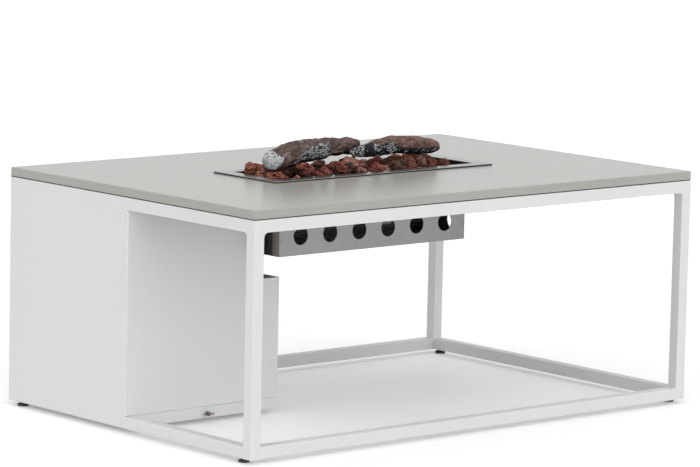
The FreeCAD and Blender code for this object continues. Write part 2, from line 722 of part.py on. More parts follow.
def make_knob():
    """Knob with a round skirt, a raised grip bar and a blind bore for the spindle."""
    body = new_body("control_knob", "valve_place", "box_front + knob_gap", "gas_height",
                    tilt=((1, 0, 0), -90))
    prism(body, "knob_radius", 24, "0", "knob_skirt")
    long, wide = "grip_length / 2", "grip_width / 2"
    grip = []
    for along, across in ((1, -1), (1, 1), (-1, 1), (-1, -1)):
        shy_end = ("%d * (%s - grip_corner)" % (along, long), "%d * %s" % (across, wide))
        shy_side = ("%d * %s" % (along, long), "%d * (%s - grip_corner)" % (across, wide))
        grip += [shy_end, shy_side] if along != across else [shy_side, shy_end]
    pad(polygon(new_sketch(body, "XY_Plane", "knob_skirt"), grip), "knob_depth - knob_skirt")
    bore = circle(new_sketch(body, "XY_Plane"), "0", "0", "spindle_radius + running_gap")
    pocket(bore, "spindle_reach - knob_gap + running_gap")


def make_igniter():
    """Piezo igniter: body through the wall, hexagon nut in front, push button inside."""
    tilt = ((1, 0, 0), -90)
    spot = ("igniter_place", "box_front", "gas_height")
    body = new_body("igniter_body", *spot, tilt=tilt)
    prism(body, "igniter_radius", 16, "igniter_stand - igniter_length", "igniter_stand")
    bore = circle(new_sketch(body, "XY_Plane", "igniter_stand"), "0", "0",
                  "button_radius + running_gap")
    pocket(bore, "igniter_stand + button_depth", toward=-1)
    nut = new_body("igniter_nut", *spot, tilt=tilt)
    prism(nut, "nut_radius", 6, "0", "igniter_stand - seat_gap")
    bore_through(nut, "igniter_radius + running_gap")
    button = new_body("igniter_button", *spot, tilt=tilt)
    inner = "button_reach - button_depth"
    revolve(button, [("0", inner), ("button_radius", inner),
                     ("button_radius", "igniter_stand + button_reach"),
                     ("0", "igniter_stand + button_reach")])


def make_inlet():
    """Gas inlet: hexagon and thread behind the box, neck and pipe socket inside it."""
    body = new_body("gas_inlet", "inlet_place", "box_front", "gas_height", tilt=((1, 0, 0), -90))
    prism(body, "inlet_hex / cos(30)", 6, "0", "inlet_hex_length")
    thread = circle(new_sketch(body, "XY_Plane", "inlet_hex_length"), "0", "0", "inlet_thread")
    pad(thread, "inlet_length")
    prism(body, "inlet_thread", 12, "-inlet_shoulder", "0")
    bore_through(body, "pipe_radius")


def bent_path(points, radius):
    """Straight runs joined by tangent arcs of one radius."""
    edges = []
    start = points[0]
    for before, corner, after in zip(points, points[1:], points[2:]):
        back = (before - corner).normalize()
        ahead = (after - corner).normalize()
        turn = math.pi - back.getAngle(ahead)
        trim = radius * math.tan(turn / 2)
        enter, leave = corner + back * trim, corner + ahead * trim
        inward = (back + ahead).normalize()
        middle = corner + inward * (radius / math.cos(turn / 2) - radius)
        edges.append(Part.LineSegment(start, enter).toShape())
        edges.append(Part.Arc(enter, middle, leave).toShape())
        start = leave
    edges.append(Part.LineSegment(start, points[-1]).toShape())
    return Part.Wire(edges)


def pipe_shape(path, radius, sides=10):
    """A many-sided bar swept along a path."""
    first = path.Edges[0]
    heading = first.tangentAt(first.FirstParameter)
    ring = Part.Circle(path.Vertexes[0].Point, heading, radius)
    corners = [ring.value(2 * math.pi * i / sides) for i in range(sides)]
    return path.makePipeShell([Part.makePolygon(corners + corners[:1])], True, False)


def make_pipes():
    """Supply pipe from the inlet to the valve, and burner pipe from the valve to the nozzle."""
    line, level = number("gas_line"), number("gas_height")
    start = V(number("inlet_place"), number("box_front"), level)
    feed = [start, V(start.x, line, level), V(number("valve_place - valve_length / 2"), line, level)]
    bend, radius = number("pipe_bend"), number("pipe_radius")
    made_shape("supply_pipe", pipe_shape(bent_path(feed, bend), radius))
    outlet = V(number("valve_place"), number("gas_line"),
               number("gas_height + valve_height / 2 + pipe_radius"))
    nozzle = V(0, 0, number("burner_height - burner_radius - injector_drop"))
    height = outlet.z + number("pipe_rise") / 2
    route = [outlet, V(outlet.x, outlet.y, height), V(0, 0, height), nozzle]
    made_shape("burner_pipe", pipe_shape(bent_path(route, bend), radius))


# Ceramic logs and lava stones

LEFT_LOG = [(-248, -10, 533, 13), (-236, -9, 533, 20), (-196, -6, 539.5, 24),
            (-148, -2, 546, 26.5), (-94, 3, 550, 22.5), (-44, 7, 550, 20.5),
            (-2, 11, 548, 19.5), (17, 13, 547, 15), (24, 14, 547, 8)]
RIGHT_LOG = [(-36, -30, 539.3, 6), (-22, -28, 539.3, 10), (10, -22, 537.4, 13),
             (70, -13, 543, 20), (120, -6, 543.2, 21.7), (184, 1, 537.3, 18.5),
             (218, 4, 537.4, 17), (237, 6, 538, 12), (243, 6, 538, 7)]


# Tray length and table height that the logs' stations belong to
LOG_TRAY, LOG_TABLE = 514, 500

# Columns of the middle row whose stones carry a log
SEAT_COLUMNS = (0, 1, 2, 5, 8, 9, 10)

# Least and most height of a row's stones over the flange
STONE_TOPS = {"front": (1, 9), "middle": (-4, 6), "back": (8, 20)}

# Rings of a stone: share of its height, share of its reach
STONE_RINGS = ((0.0, 0.68), (0.3, 0.97), (0.74, 0.9), (1.0, 0.4))
STONE_CORNERS = 6

# Share of a stone's reach that is kept clear of a log over it
SEAT_REACH = 0.7


def log_sections(stations):
    """Stations as places along the tray and heights above the table top."""
    stretch = number("box_length") / LOG_TRAY
    lift = number("table_height") - LOG_TABLE
    return [(V(x * stretch, y, z + lift), r) for x, y, z, r in stations]


def make_log(label, stations):
    """A log of flat facets through rings that stand square to its line."""
    sections = log_sections(stations)
    sides = int(number("log_sides"))
    rings = []
    for i, (centre, radius) in enumerate(sections):
        before = sections[max(i - 1, 0)][0]
        after = sections[min(i + 1, len(sections) - 1)][0]
        heading = (after - before).normalize()
        side = V(0, 0, 1).cross(heading).normalize()
        rise = heading.cross(side)
        turns = [2 * math.pi * k / sides for k in range(sides)]
        rings.append([centre + side * (radius * math.cos(turn)) + rise * (radius * math.sin(turn))
                      for turn in turns])
    made_shape(label, skinned(rings))
    return list(side_facets(rings))


def height_at(facet, x, y):
    """Height of a flat triangle over a spot, or None beside it."""
    a, b, c = facet
    area = (b.x - a.x) * (c.y - a.y) - (c.x - a.x) * (b.y - a.y)
    if abs(area) < 1e-6:
        return None
    u = ((x - a.x) * (c.y - a.y) - (c.x - a.x) * (y - a.y)) / area
    v = ((b.x - a.x) * (y - a.y) - (x - a.x) * (b.y - a.y)) / area
    return a.z + u * (b.z - a.z) + v * (c.z - a.z) if min(u, v, 1 - u - v) >= 0 else None


def underside(facets, x, y, reach):
    """Lowest point of the logs over a round patch of the bed."""
    spots = [(x, y)]
    for share in (0.35, 0.7, 1.0):
        for turn in range(12):
            angle = turn * math.pi / 6
            spots.append((x + share * reach * math.cos(angle), y + share * reach * math.sin(angle)))
    heights = [height_at(facet, *spot) for facet in facets for spot in spots]
    return min((height for height in heights if height is not None), default=None)


def rock_shape(chance, centre, half_x, half_y, height):
    """One broken stone: rings of jittered corners between a flat base and a flat top."""
    rings = []
    for share, wide in STONE_RINGS:
        flat = share in (0.0, 1.0)
        ring = []
        for i in range(STONE_CORNERS):
            angle = 2 * math.pi * (i + chance.uniform(-0.25, 0.25)) / STONE_CORNERS
            reach = wide * chance.uniform(0.84, 1.0)
            rise = share if flat else share + chance.uniform(-0.05, 0.05)
            ring.append(V(centre.x + half_x * reach * math.cos(angle),
                          centre.y + half_y * reach * math.sin(angle),
                          centre.z + height * rise))
        rings.append(ring)
    return skinned(rings)


def make_lava_rocks(log_facets):
    """One bed of loose stones: two rows on the pan floor and one row over the burner tube."""
    chance = random.Random(7)
    columns = int(number("rock_columns"))
    bed_length = number("box_length - 2 * rock_margin")
    bed_width = number("bed_width - 2 * seat_gap")
    pitch = bed_length / columns
    half = number("rock_half")
    deep = number("rock_depth")
    gap = number("seat_gap")
    tube_end = number("burner_length / 2")
    brim = number("flange_under + flange_sheet")
    rows = {"front": (deep - bed_width / 2, deep), "middle": (0, half),
            "back": (bed_width / 2 - deep, deep)}
    stones = []
    for row, (line, side) in rows.items():
        for k in range(columns):
            x = pitch * (k + 0.5) - bed_length / 2
            base = number("pan_height")
            if row == "middle" and abs(x) < tube_end + half:
                base = number("burner_height + burner_radius") + gap
            top = brim + chance.uniform(*STONE_TOPS[row])
            log_under = underside(log_facets, x, line, side * SEAT_REACH)
            if log_under and row == "middle" and k in SEAT_COLUMNS:
                top = log_under - gap
            elif log_under:
                top = min(top, log_under - gap)
            reach = min(half, pitch / 2 - gap)
            stones.append(rock_shape(chance, V(x, line, base), reach, side, top - base))
    made_shape("lava_rocks", Part.makeCompound(stones))


# Levelling feet and small hardware

def make_feet():
    inserts = []
    for end, side_x in (("left", -1), ("right", 1)):
        for face, side_y in (("front", -1), ("back", 1)):
            x = "%d * foot_line_x" % side_x
            y = "%d * foot_line_y" % side_y
            body = new_body("foot_%s_%s" % (face, end), x, y)
            shoulder = "foot_lift - insert_plate - foot_gap"
            prism(body, "foot_radius", 18, "0", "foot_disc")
            prism(body, "foot_neck", 6, "foot_disc", shoulder)
            prism(body, "stud_radius", 12, shoulder, "stud_length + foot_lift")
            inserts.append(make_insert("%s_%s" % (face, end), x, y))
    group("foot_inserts", inserts)


def make_insert(name, x, y):
    """Threaded insert pressed up through the rail's lower wall."""
    body = doc.addObject("PartDesign::Body", "insert_" + name)
    for axis, text in zip("xyz", (x, y, "foot_lift")):
        body.setExpression("Placement.Base." + axis, formula(text))
    prism(body, "insert_rim", 16, "-insert_plate", "0")
    prism(body, "insert_radius", 16, "0", "insert_length")
    bore_through(body, "stud_radius + running_gap")
    return body


def make_wing_screw():
    tilt = ((1, 0, 0), 90)
    washer = new_body("wing_screw_washer", "screw_place", "wall_face", "screw_height", tilt=tilt)
    prism(washer, "screw_washer", 18, "0", "screw_plate")
    bore_through(washer, "screw_radius + running_gap")
    body = new_body("wing_screw", "screw_place", "wall_face", "screw_height", tilt=tilt)
    base = "screw_plate + running_gap"
    prism(body, "screw_radius", 12, "-screw_length", base)
    prism(body, "screw_hub", 12, base, "screw_hub_length")
    middle = "(screw_plate + screw_hub_length) / 2"
    for side in (-1, 1):
        wing = new_sketch(body, "XZ_Plane", "0")
        polygon(wing, [("%d * screw_hub / 2" % side, middle + " - screw_hub / 2"),
                       ("%d * (wing_reach - wing_radius)" % side, middle + " - wing_sheet / 2"),
                       ("%d * wing_reach" % side, "screw_hub_length"),
                       ("%d * (wing_reach - wing_sheet)" % side,
                        "screw_hub_length + wing_radius"),
                       ("%d * screw_hub / 2" % side, "screw_hub_length")])
        pad(wing, "wing_sheet", both=True)


def check_parts():
    """Stop unless every feature is sound, every cut removed metal and every part is solid."""
    for thing in doc.Objects:
        if {"Invalid", "Error"} & set(thing.State):
            raise RuntimeError("%s is %s" % (thing.Name, thing.State))
        if thing.TypeId in ("PartDesign::Pocket", "PartDesign::LinearPattern"):
            before = thing.BaseFeature.Shape.Volume
            if thing.Shape.Volume > before - 0.01:
                raise RuntimeError("%s cut nothing" % thing.Name)
    for piece in PIECES:
        shape = piece.Shape
        if shape.isNull() or not shape.isValid() or not shape.Solids:
            raise RuntimeError("%s has no valid shape" % piece.Label)


def write_parts():
    os.makedirs("parts", exist_ok=True)
    for piece in PIECES:
        piece.Shape.exportStep("parts/%s.step" % piece.Label)
    print("wrote %d sub-parts" % len(PIECES))


fill_sheet()
make_frame()
make_table_top()
make_top_pads()
make_compartment_shell()
make_floor_plate()
make_door()
make_door_fittings()
make_flange()
make_burner_box()
make_rock_pan()
make_pan_ledges()
make_burner_tube()
make_saddles()
make_injector()
make_rods()
make_valve()
make_spindle()
make_knob()
make_igniter()
make_inlet()
make_pipes()
make_lava_rocks(make_log("left_log", LEFT_LOG) + make_log("right_log", RIGHT_LOG))
make_feet()
make_wing_screw()
doc.recompute()
check_parts()
write_parts()
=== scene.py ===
# %% [markdown]
# # A gas fire pit table
#
# The table has a welded frame of square tube, a folded metal top, a corner compartment for the
# gas bottle and a long steel tray with lava stones and two ceramic logs. The solids come ready
# from the CAD model, in metres, with the origin on the floor under the middle of the table.
# This lesson dresses them: it softens the tubes' edges, breaks real stones out of plain balls,
# grows the two logs ring by ring, and mixes every finish from nodes.
#
# The first cell loads the solids and keeps the size of the whole object, below whose top the
# carved logs are kept later. The first cell loads the solids and keeps the size of the whole
# object, because nothing that follows may make it larger.

import json
import math
import random

import bpy
from mathutils import Matrix, Vector, noise as rough_noise
from mathutils.bvhtree import BVHTree

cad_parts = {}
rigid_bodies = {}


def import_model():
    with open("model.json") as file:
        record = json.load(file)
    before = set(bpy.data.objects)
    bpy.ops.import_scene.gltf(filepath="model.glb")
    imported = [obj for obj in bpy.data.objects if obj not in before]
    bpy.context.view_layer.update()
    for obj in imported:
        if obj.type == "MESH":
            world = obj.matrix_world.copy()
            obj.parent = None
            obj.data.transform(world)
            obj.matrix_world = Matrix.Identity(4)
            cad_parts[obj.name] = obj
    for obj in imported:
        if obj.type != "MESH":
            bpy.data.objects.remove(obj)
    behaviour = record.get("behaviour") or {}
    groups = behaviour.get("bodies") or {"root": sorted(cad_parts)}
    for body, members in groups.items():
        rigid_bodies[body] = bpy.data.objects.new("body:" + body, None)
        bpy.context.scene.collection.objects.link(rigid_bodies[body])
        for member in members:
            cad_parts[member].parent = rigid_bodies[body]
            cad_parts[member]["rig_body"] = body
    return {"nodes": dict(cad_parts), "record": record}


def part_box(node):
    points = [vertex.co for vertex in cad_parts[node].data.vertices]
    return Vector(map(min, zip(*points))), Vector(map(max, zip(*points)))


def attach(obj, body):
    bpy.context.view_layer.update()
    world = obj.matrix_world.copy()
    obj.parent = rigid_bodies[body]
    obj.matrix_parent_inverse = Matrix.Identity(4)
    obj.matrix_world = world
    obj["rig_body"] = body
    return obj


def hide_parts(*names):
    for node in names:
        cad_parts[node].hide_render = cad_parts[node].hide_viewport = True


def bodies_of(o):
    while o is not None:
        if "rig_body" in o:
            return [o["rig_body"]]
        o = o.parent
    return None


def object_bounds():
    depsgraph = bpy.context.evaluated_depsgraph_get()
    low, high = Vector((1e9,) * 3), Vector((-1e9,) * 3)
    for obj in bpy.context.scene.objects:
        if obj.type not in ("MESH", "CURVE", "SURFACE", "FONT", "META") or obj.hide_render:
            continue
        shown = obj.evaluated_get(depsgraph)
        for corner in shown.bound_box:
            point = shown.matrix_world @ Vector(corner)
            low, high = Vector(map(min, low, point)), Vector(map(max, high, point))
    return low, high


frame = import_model()
cad_box = [list(corner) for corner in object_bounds()]
slots = {part["node"]: part["material_slot"] for part in frame["record"]["subparts"]}
body_of = {node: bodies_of(piece)[0] for node, piece in frame["nodes"].items()}
print("solids:", len(frame["nodes"]), "box:", cad_box)
print("bodies:", sorted(set(body_of.values())))


# %% [markdown]
# A modelling operator works on everything that is selected, and the loaded solids arrive
# selected. So each step starts from an empty selection and then takes only its own piece. In
# edit mode the faces or edges to work on are picked by where they are or which way they point,
# as one would click them by hand.

# %% Helpers to take up a piece and pick parts of it
def take(piece):
    """Select one piece alone and make it the active one."""
    if bpy.context.object and bpy.context.object.mode != "OBJECT":
        bpy.ops.object.mode_set(mode="OBJECT")
    bpy.ops.object.select_all(action="DESELECT")
    piece.select_set(True)
    bpy.context.view_layer.objects.active = piece


def pick(piece, kind, wanted):
    """Go into edit mode with only the wanted faces, edges or vertices selected."""
    take(piece)
    kinds = {"vert": piece.data.vertices, "edge": piece.data.edges, "face": piece.data.polygons}
    bpy.context.tool_settings.mesh_select_mode = tuple(name == kind for name in kinds)
    for name, parts in kinds.items():
        for part in parts:
            part.select = name == kind and bool(wanted(part))
    count = sum(part.select for part in kinds[kind])
    bpy.ops.object.mode_set(mode="EDIT")
    return count


def edit_all(piece):
    """Go into edit mode with the whole mesh selected."""
    take(piece)
    bpy.ops.object.mode_set(mode="EDIT")
    bpy.ops.mesh.select_all(action="SELECT")


def leave_edit():
    bpy.ops.object.mode_set(mode="OBJECT")


def face_outward():
    """Turn every face outward, as the last thing done in edit mode."""
    bpy.ops.mesh.select_all(action="SELECT")
    bpy.ops.mesh.normals_make_consistent(inside=False)
    leave_edit()


def start(name, primitive, **settings):
    """Add a primitive while nothing else is selected, and name it."""
    bpy.ops.object.select_all(action="DESELECT")
    primitive(**settings)
    piece = bpy.context.object
    piece.name = piece.data.name = name
    return piece


def edge_ends(mesh, edge):
    return mesh.vertices[edge.vertices[0]].co, mesh.vertices[edge.vertices[1]].co


def settle(piece):
    """Bake a piece's place, turn and size into its mesh, so that the piece sits at the origin."""
    take(piece)
    bpy.ops.object.transform_apply(location=True, rotation=True, scale=True)


def apply_modifiers(piece):
    take(piece)
    for modifier in list(piece.modifiers):
        bpy.ops.object.modifier_apply(modifier=modifier.name)


def smooth(piece, angle=35):
    take(piece)
    bpy.ops.object.shade_smooth_by_angle(angle=math.radians(angle))


def flatten(piece):
    """Shade the faces along the axes flat, so that only the rounded edges between them blend."""
    if pick(piece, "face", lambda face: max(map(abs, face.normal)) > 0.99999):
        bpy.ops.mesh.faces_shade_flat()
    leave_edit()


def join(pieces, name):
    """Make one object of several and give it a name."""
    take(pieces[0])
    for piece in pieces:
        piece.select_set(True)
    bpy.ops.object.join()
    whole = bpy.context.object
    whole.name = whole.data.name = name
    return whole


print("helpers ready")


# %% [markdown]
# ## The camera
#
# The photograph was taken from some way off with a long lens, from the compartment's side and
# a little above the table. A long lens keeps the table's far side nearly as large as its near
# side. The camera's place and turn were worked out from the corners of the frame, so here they
# are only written down: it stands at one point, looks 41 degrees round and 8 degrees down, and
# is rolled by just over a degree, as a camera held in the hand is.

# %% Camera
camera_data = bpy.data.cameras.new("camera")
camera_data.sensor_width = 36.0
camera_data.sensor_fit = "HORIZONTAL"
camera_data.lens = 203.86
camera_data.clip_end = 100.0
camera = bpy.data.objects.new("camera", camera_data)
bpy.context.scene.collection.objects.link(camera)

CAMERA_PLACE = (-5.425339, -6.24011, 1.514612)
around, down, roll = (math.radians(a) for a in (40.955, 7.929, 1.246))
turn = Matrix.Rotation(-around, 4, "Z") @ Matrix.Rotation(math.pi / 2 - down, 4, "X")
camera.matrix_world = (Matrix.Translation(CAMERA_PLACE) @ turn
                       @ Matrix.Rotation(roll, 4, "Z"))
bpy.context.scene.camera = camera
print("camera stands", round((camera.location - Vector((0, 0, 0.25))).length, 2), "m off")


# %% [markdown]
# ## Mixing a finish
#
# A finish here is never one flat colour. Each is mixed from a few nodes that read the place on
# the object in metres: noise for the small drift in colour, more noise for how rough the
# surface is, and a bump for its grain. Two short helpers keep the mixing readable: one adds a
# node and sets it, the other maps a grey value to a range of colours.

# %% Helpers for mixing a finish
def shader_of(finish):
    return finish.node_tree.nodes["Principled BSDF"]


def new_finish(name, rough, metal=0.0, gloss=0.5):
    """A finish with its constant numbers set on the shader itself."""
    finish = bpy.data.materials.new(name)
    finish.use_nodes = True
    shader = shader_of(finish)
    shader.inputs["Roughness"].default_value = rough
    shader.inputs["Metallic"].default_value = metal
    shader.inputs["Specular IOR Level"].default_value = gloss
    return finish


def add(finish, kind, inputs=None, **settings):
    """Add one node, with its settings and the values or sources of its inputs."""
    node = finish.node_tree.nodes.new("ShaderNode" + kind)
    for key, value in settings.items():
        setattr(node, key, value)
    for key, value in (inputs or {}).items():
        socket = node.inputs[key]
        if isinstance(value, bpy.types.NodeSocket):
            finish.node_tree.links.new(value, socket)
        else:
            socket.default_value = value + (1,) if socket.type == "RGBA" else value
    return node


def feed(finish, key, source):
    finish.node_tree.links.new(source, shader_of(finish).inputs[key])


def place_on(finish, stretch=(1, 1, 1)):
    """The place on the object in metres, stretched for a pattern's grain."""
    spot = add(finish, "TexCoord").outputs["Object"]
    return add(finish, "Mapping", {"Vector": spot, "Scale": stretch}).outputs["Vector"]


def noise(finish, where, scale, detail=3.0, rough=0.55):
    return add(finish, "TexNoise", {"Vector": where, "Scale": scale, "Detail": detail,
                                    "Roughness": rough}).outputs["Fac"]


def ramp(finish, source, *stops):
    """Turn a grey value into a colour; each stop is a place and a colour or a grey."""
    node = add(finish, "ValToRGB", {"Fac": source})
    band = node.color_ramp
    while len(band.elements) < len(stops):
        band.elements.new(0.5)
    for element, (spot, colour) in zip(band.elements, stops):
        element.position = spot
        element.color = (colour if isinstance(colour, tuple) else (colour,) * 3) + (1,)
    return node.outputs["Color"]


def mix(finish, share, first, second, how="MIX"):
    """Mix two colours; a colour mix keeps its sockets behind those of numbers and vectors."""
    return add(finish, "Mix", {0: share, 6: first, 7: second}, data_type="RGBA",
               blend_type=how).outputs[2]


def sums(finish, how, first, second):
    return add(finish, "Math", {0: first, 1: second}, operation=how).outputs["Value"]


def times_past(finish, value, base, factor):
    """How far a value lies past a base, times a factor."""
    return sums(finish, "MULTIPLY", sums(finish, "SUBTRACT", value, base), factor)


def bump(finish, height, strength, depth):
    """Raise the surface by a grey pattern, depth metres from black to white."""
    feed(finish, "Normal", add(finish, "Bump", {"Strength": strength, "Distance": depth,
                                                "Height": height}).outputs["Normal"])


print("mixing helpers ready")


# %% [markdown]
# ## Floor, lamps and air
#
# The table stands on a plain white studio floor under soft light. Small lamps would throw hard
# shadows, so each lamp is a patch of sky many hands wide: one stands low in front of the long
# side, one low on the left, and a weak one overhead. Low lamps reach in under the top, so the
# compartment's wall grows lighter towards its foot. The picture's background is pure white, but
# the lamps must not burn out the white paint. So the floor and the air add a glow of their own,
# for the camera and for mirror reflections only, and the floor keeps the table's soft shadow.
# The glow is weaker under the table, which paints a deeper shadow on the floor beneath it. The
# front lamp is a little bluish and the one overhead a little pink, so that the top looks warmer
# than the paint on the sides.

# %% Floor
HALF_TABLE = (0.6, 0.4, 0)


def show_to_eye(finish, plain, seen, output):
    """Send one look to the eye and to mirrors, and the plain one to everything else."""
    rays = add(finish, "LightPath").outputs
    eye = sums(finish, "MAXIMUM", rays["Is Camera Ray"], rays["Is Glossy Ray"])
    choice = add(finish, "MixShader", {"Fac": eye, 1: plain, 2: seen})
    finish.node_tree.links.new(choice.outputs["Shader"],
                               finish.node_tree.nodes[output].inputs["Surface"])


floor = start("studio_floor", bpy.ops.mesh.primitive_plane_add, size=60, location=(0, 0, 0))

floor_finish = new_finish("studio_floor_paint", 0.5)
paint = shader_of(floor_finish)
paint.inputs["Base Color"].default_value = (0.86, 0.86, 0.86, 1)
spot = add(floor_finish, "TexCoord").outputs["Object"]
spot = add(floor_finish, "VectorMath", {0: spot}, operation="ABSOLUTE").outputs["Vector"]
past = add(floor_finish, "VectorMath", {0: spot, 1: HALF_TABLE}, operation="SUBTRACT")
sides = add(floor_finish, "SeparateXYZ", {"Vector": past.outputs["Vector"]}).outputs
outside = sums(floor_finish, "MAXIMUM", sides["X"], sides["Y"])
# Painted shadow: the floor's glow drops from 0.38 outside the table's footprint to 0.24 under it.
strength = add(floor_finish, "MapRange", {"Value": outside, "From Min": 0.004,
                                          "From Max": 0.03, "To Min": 0.24, "To Max": 0.38})
glow = add(floor_finish, "Emission", {"Color": (1, 1, 1),
                                      "Strength": strength.outputs["Result"]})
both = add(floor_finish, "AddShader", {0: paint.outputs["BSDF"], 1: glow.outputs["Emission"]})
show_to_eye(floor_finish, paint.outputs["BSDF"], both.outputs["Shader"], "Material Output")
floor.data.materials.append(floor_finish)
print("floor ready")


# %% Lamps and air
def sky_patch(name, shines, strength, width, hue):
    """A wide patch of sky that shines in one direction, its width in degrees."""
    lamp_data = bpy.data.lights.new(name, "SUN")
    lamp_data.color = hue
    lamp_data.angle = math.radians(width)
    lamp_data.energy = strength
    lamp = bpy.data.objects.new(name, lamp_data)
    lamp.rotation_euler = Vector(shines).to_track_quat("-Z", "Y").to_euler()
    bpy.context.scene.collection.objects.link(lamp)


sky_patch("overhead_sky", (0, 0, -1), 0.7, 80, (1.0, 0.955, 0.94))
sky_patch("front_sky", (0, 1, -0.4), 1.68, 75, (0.975, 0.98, 1.0))
sky_patch("left_sky", (1, 0, -0.4), 1.27, 75, (1.0, 1.0, 0.99))

world = bpy.data.worlds.new("studio_air")
world.use_nodes = True
bpy.context.scene.world = world
air = world.node_tree.nodes["Background"]
air.inputs["Color"].default_value = (1, 1, 1, 1)
air.inputs["Strength"].default_value = 0.17
white = add(world, "Background", {"Color": (1, 1, 1), "Strength": 1.0})
show_to_eye(world, air.outputs["Background"], white.outputs["Background"], "World Output")
bpy.context.scene.view_settings.view_transform = "Standard"
print("lamps ready")


# %% [markdown]
# ## The finishes
#
# ### Powder coat
#
# Frame and compartment are sprayed with white powder, which melts into an even satin skin with
# a faint orange peel, about a millimetre and a half from dimple to dimple. The top is a warm
# light grey of the same kind, a little glossier, so that it mirrors the logs as soft smudges.
# The grain could be painted in, but a bump does it better, because it catches the light.

# %% White and grey powder coat
def powder_coat(name, pale, deep, rough, gloss, wear, peel_share):
    finish = new_finish(name, rough, gloss=gloss)
    where = place_on(finish)
    drift = noise(finish, where, 3.5, 4)
    feed(finish, "Base Color", ramp(finish, drift, (0.3, deep), (0.7, pale)))
    worn = noise(finish, where, 14, 3)
    feed(finish, "Roughness", ramp(finish, worn, (0.3, rough - wear), (0.7, rough + wear)))
    bump(finish, noise(finish, where, 620, 2, 0.4), peel_share, 0.0002)
    return finish


white_coat = powder_coat("white_powder_coat", (0.797, 0.81, 0.8), (0.772, 0.788, 0.778),
                         0.36, 0.5, 0.035, 0.12)
grey_coat = powder_coat("taupe_powder_coat", (0.424, 0.424, 0.394), (0.411, 0.411, 0.382),
                        0.25, 0.42, 0.004, 0.02)
print("powder coats:", white_coat.name, grey_coat.name)


# %% [markdown]
# ### Steel, zinc, brass and aluminium
#
# The tray and the burner box are folded from stainless sheet that was brushed along its length.
# Brushing leaves fine scratches, which are noise stretched three hundred times in one direction.
# They change the colour a little, the roughness a little more, and give the bump. Bright zinc
# on the small hardware has no scratches but a faint cloudy bloom, and turned brass and drawn
# aluminium tube have fine rings.

# %% Brushed and plated metals
def brushed_steel(name, pale, deep, rough, last_coat=None):
    finish = new_finish(name, rough, metal=1.0)
    along = place_on(finish, (12, 1400, 1400))
    scratch = noise(finish, along, 1.0, 4, 0.6)
    cloud = noise(finish, place_on(finish), 9, 3)
    tone = mix(finish, 0.5, scratch, cloud)
    colour = ramp(finish, tone, (0.3, deep), (0.7, pale))
    feed(finish, "Base Color", last_coat(finish, colour) if last_coat else colour)
    feed(finish, "Roughness", ramp(finish, scratch, (0.25, rough - 0.04), (0.75, rough + 0.05)))
    bump(finish, scratch, 0.1, 0.00005)
    return finish


def clouded(name, tones, rough, wear, cloud, grain, strength, depth, **kind):
    """A finish that drifts in tone and roughness as clouds do, under a raised grain."""
    (pale, deep), (more, less) = tones, wear
    finish = new_finish(name, rough, **kind)
    where = place_on(finish)
    drift = noise(finish, where, *cloud)
    feed(finish, "Base Color", ramp(finish, drift, (0.3, deep), (0.7, pale)))
    feed(finish, "Roughness", ramp(finish, drift, (0.3, rough + more), (0.7, rough + less)))
    bump(finish, noise(finish, where, grain, 2), strength, depth)
    return finish


def plated(name, pale, deep, rough, grain):
    return clouded(name, (pale, deep), rough, (0.08, -0.05), (grain, 4), grain * 8, 0.2, 0.00005,
                   metal=1.0)


BOX_END, PER_DEPTH, SHARP = -0.2566, 7.7, 4000.0


def painted_end_reflection(finish, colour):
    """Paint the dark compartment's reflection on the box end beside it: paler near the front
    edge, nearly black behind it.
    """
    spot = add(finish, "SeparateXYZ", {"Vector": place_on(finish)}).outputs
    across = sums(finish, "ADD", sums(finish, "MULTIPLY", spot["Y"], PER_DEPTH), 0.5)
    tint = ramp(finish, across, (0.0, (0.31, 0.272, 0.245)), (0.15, (0.2, 0.172, 0.155)),
                (0.19, (0.05, 0.045, 0.042)), (0.6, (0.035, 0.032, 0.03)))
    at_end = times_past(finish, BOX_END, spot["X"], SHARP)
    return mix(finish, ramp(finish, at_end, (0.0, 0.0), (0.5, 1.0)), colour, tint)


steel = brushed_steel("brushed_stainless", (0.285, 0.28, 0.272), (0.245, 0.24, 0.232), 0.27)
# The box's steel carries the painted reflection of the dark compartment on its end.
box_steel = brushed_steel("box_stainless", (0.27, 0.27, 0.264), (0.232, 0.232, 0.226), 0.27,
                          painted_end_reflection)
zinc = plated("zinc_steel", (0.72, 0.72, 0.73), (0.52, 0.52, 0.54), 0.3, 90)
dark_zinc = plated("dark_zinc", (0.2, 0.178, 0.165), (0.09, 0.08, 0.075), 0.34, 160)
brass = plated("machined_brass", (0.75, 0.56, 0.27), (0.56, 0.4, 0.18), 0.3, 140)
aluminium = plated("aluminium_pipe", (0.75, 0.75, 0.76), (0.6, 0.6, 0.61), 0.34, 60)
print("metals:", steel.name, zinc.name, brass.name, aluminium.name)


# %% [markdown]
# ### Plastic, rubber and glazed ceramic
#
# Knob, igniter and feet are moulded black plastic with a fine spark-eroded grain. The pads
# under the top are rubber, duller and softer in tone, and the spark electrode's rod is white
# ceramic under a thin glaze.

# %% Moulded and glazed finishes
def moulded(name, pale, deep, rough, grain, depth):
    return clouded(name, (pale, deep), rough, (-0.06, 0.06), (60, 3), grain, 0.35, depth,
                   gloss=0.4)


black_plastic = moulded("black_plastic", (0.032, 0.032, 0.033), (0.018, 0.018, 0.019), 0.45,
                        1900, 0.0001)
rubber = moulded("pad_rubber", (0.04, 0.039, 0.038), (0.024, 0.024, 0.024), 0.8, 1200, 0.0002)
ceramic = moulded("white_ceramic", (0.82, 0.8, 0.76), (0.74, 0.72, 0.68), 0.22, 500, 0.00005)
print("plain finishes:", black_plastic.name, rubber.name, ceramic.name)


# %% Give every solid its finish
def paint_with(piece, finish):
    piece.data.materials.clear()
    piece.data.materials.append(finish)


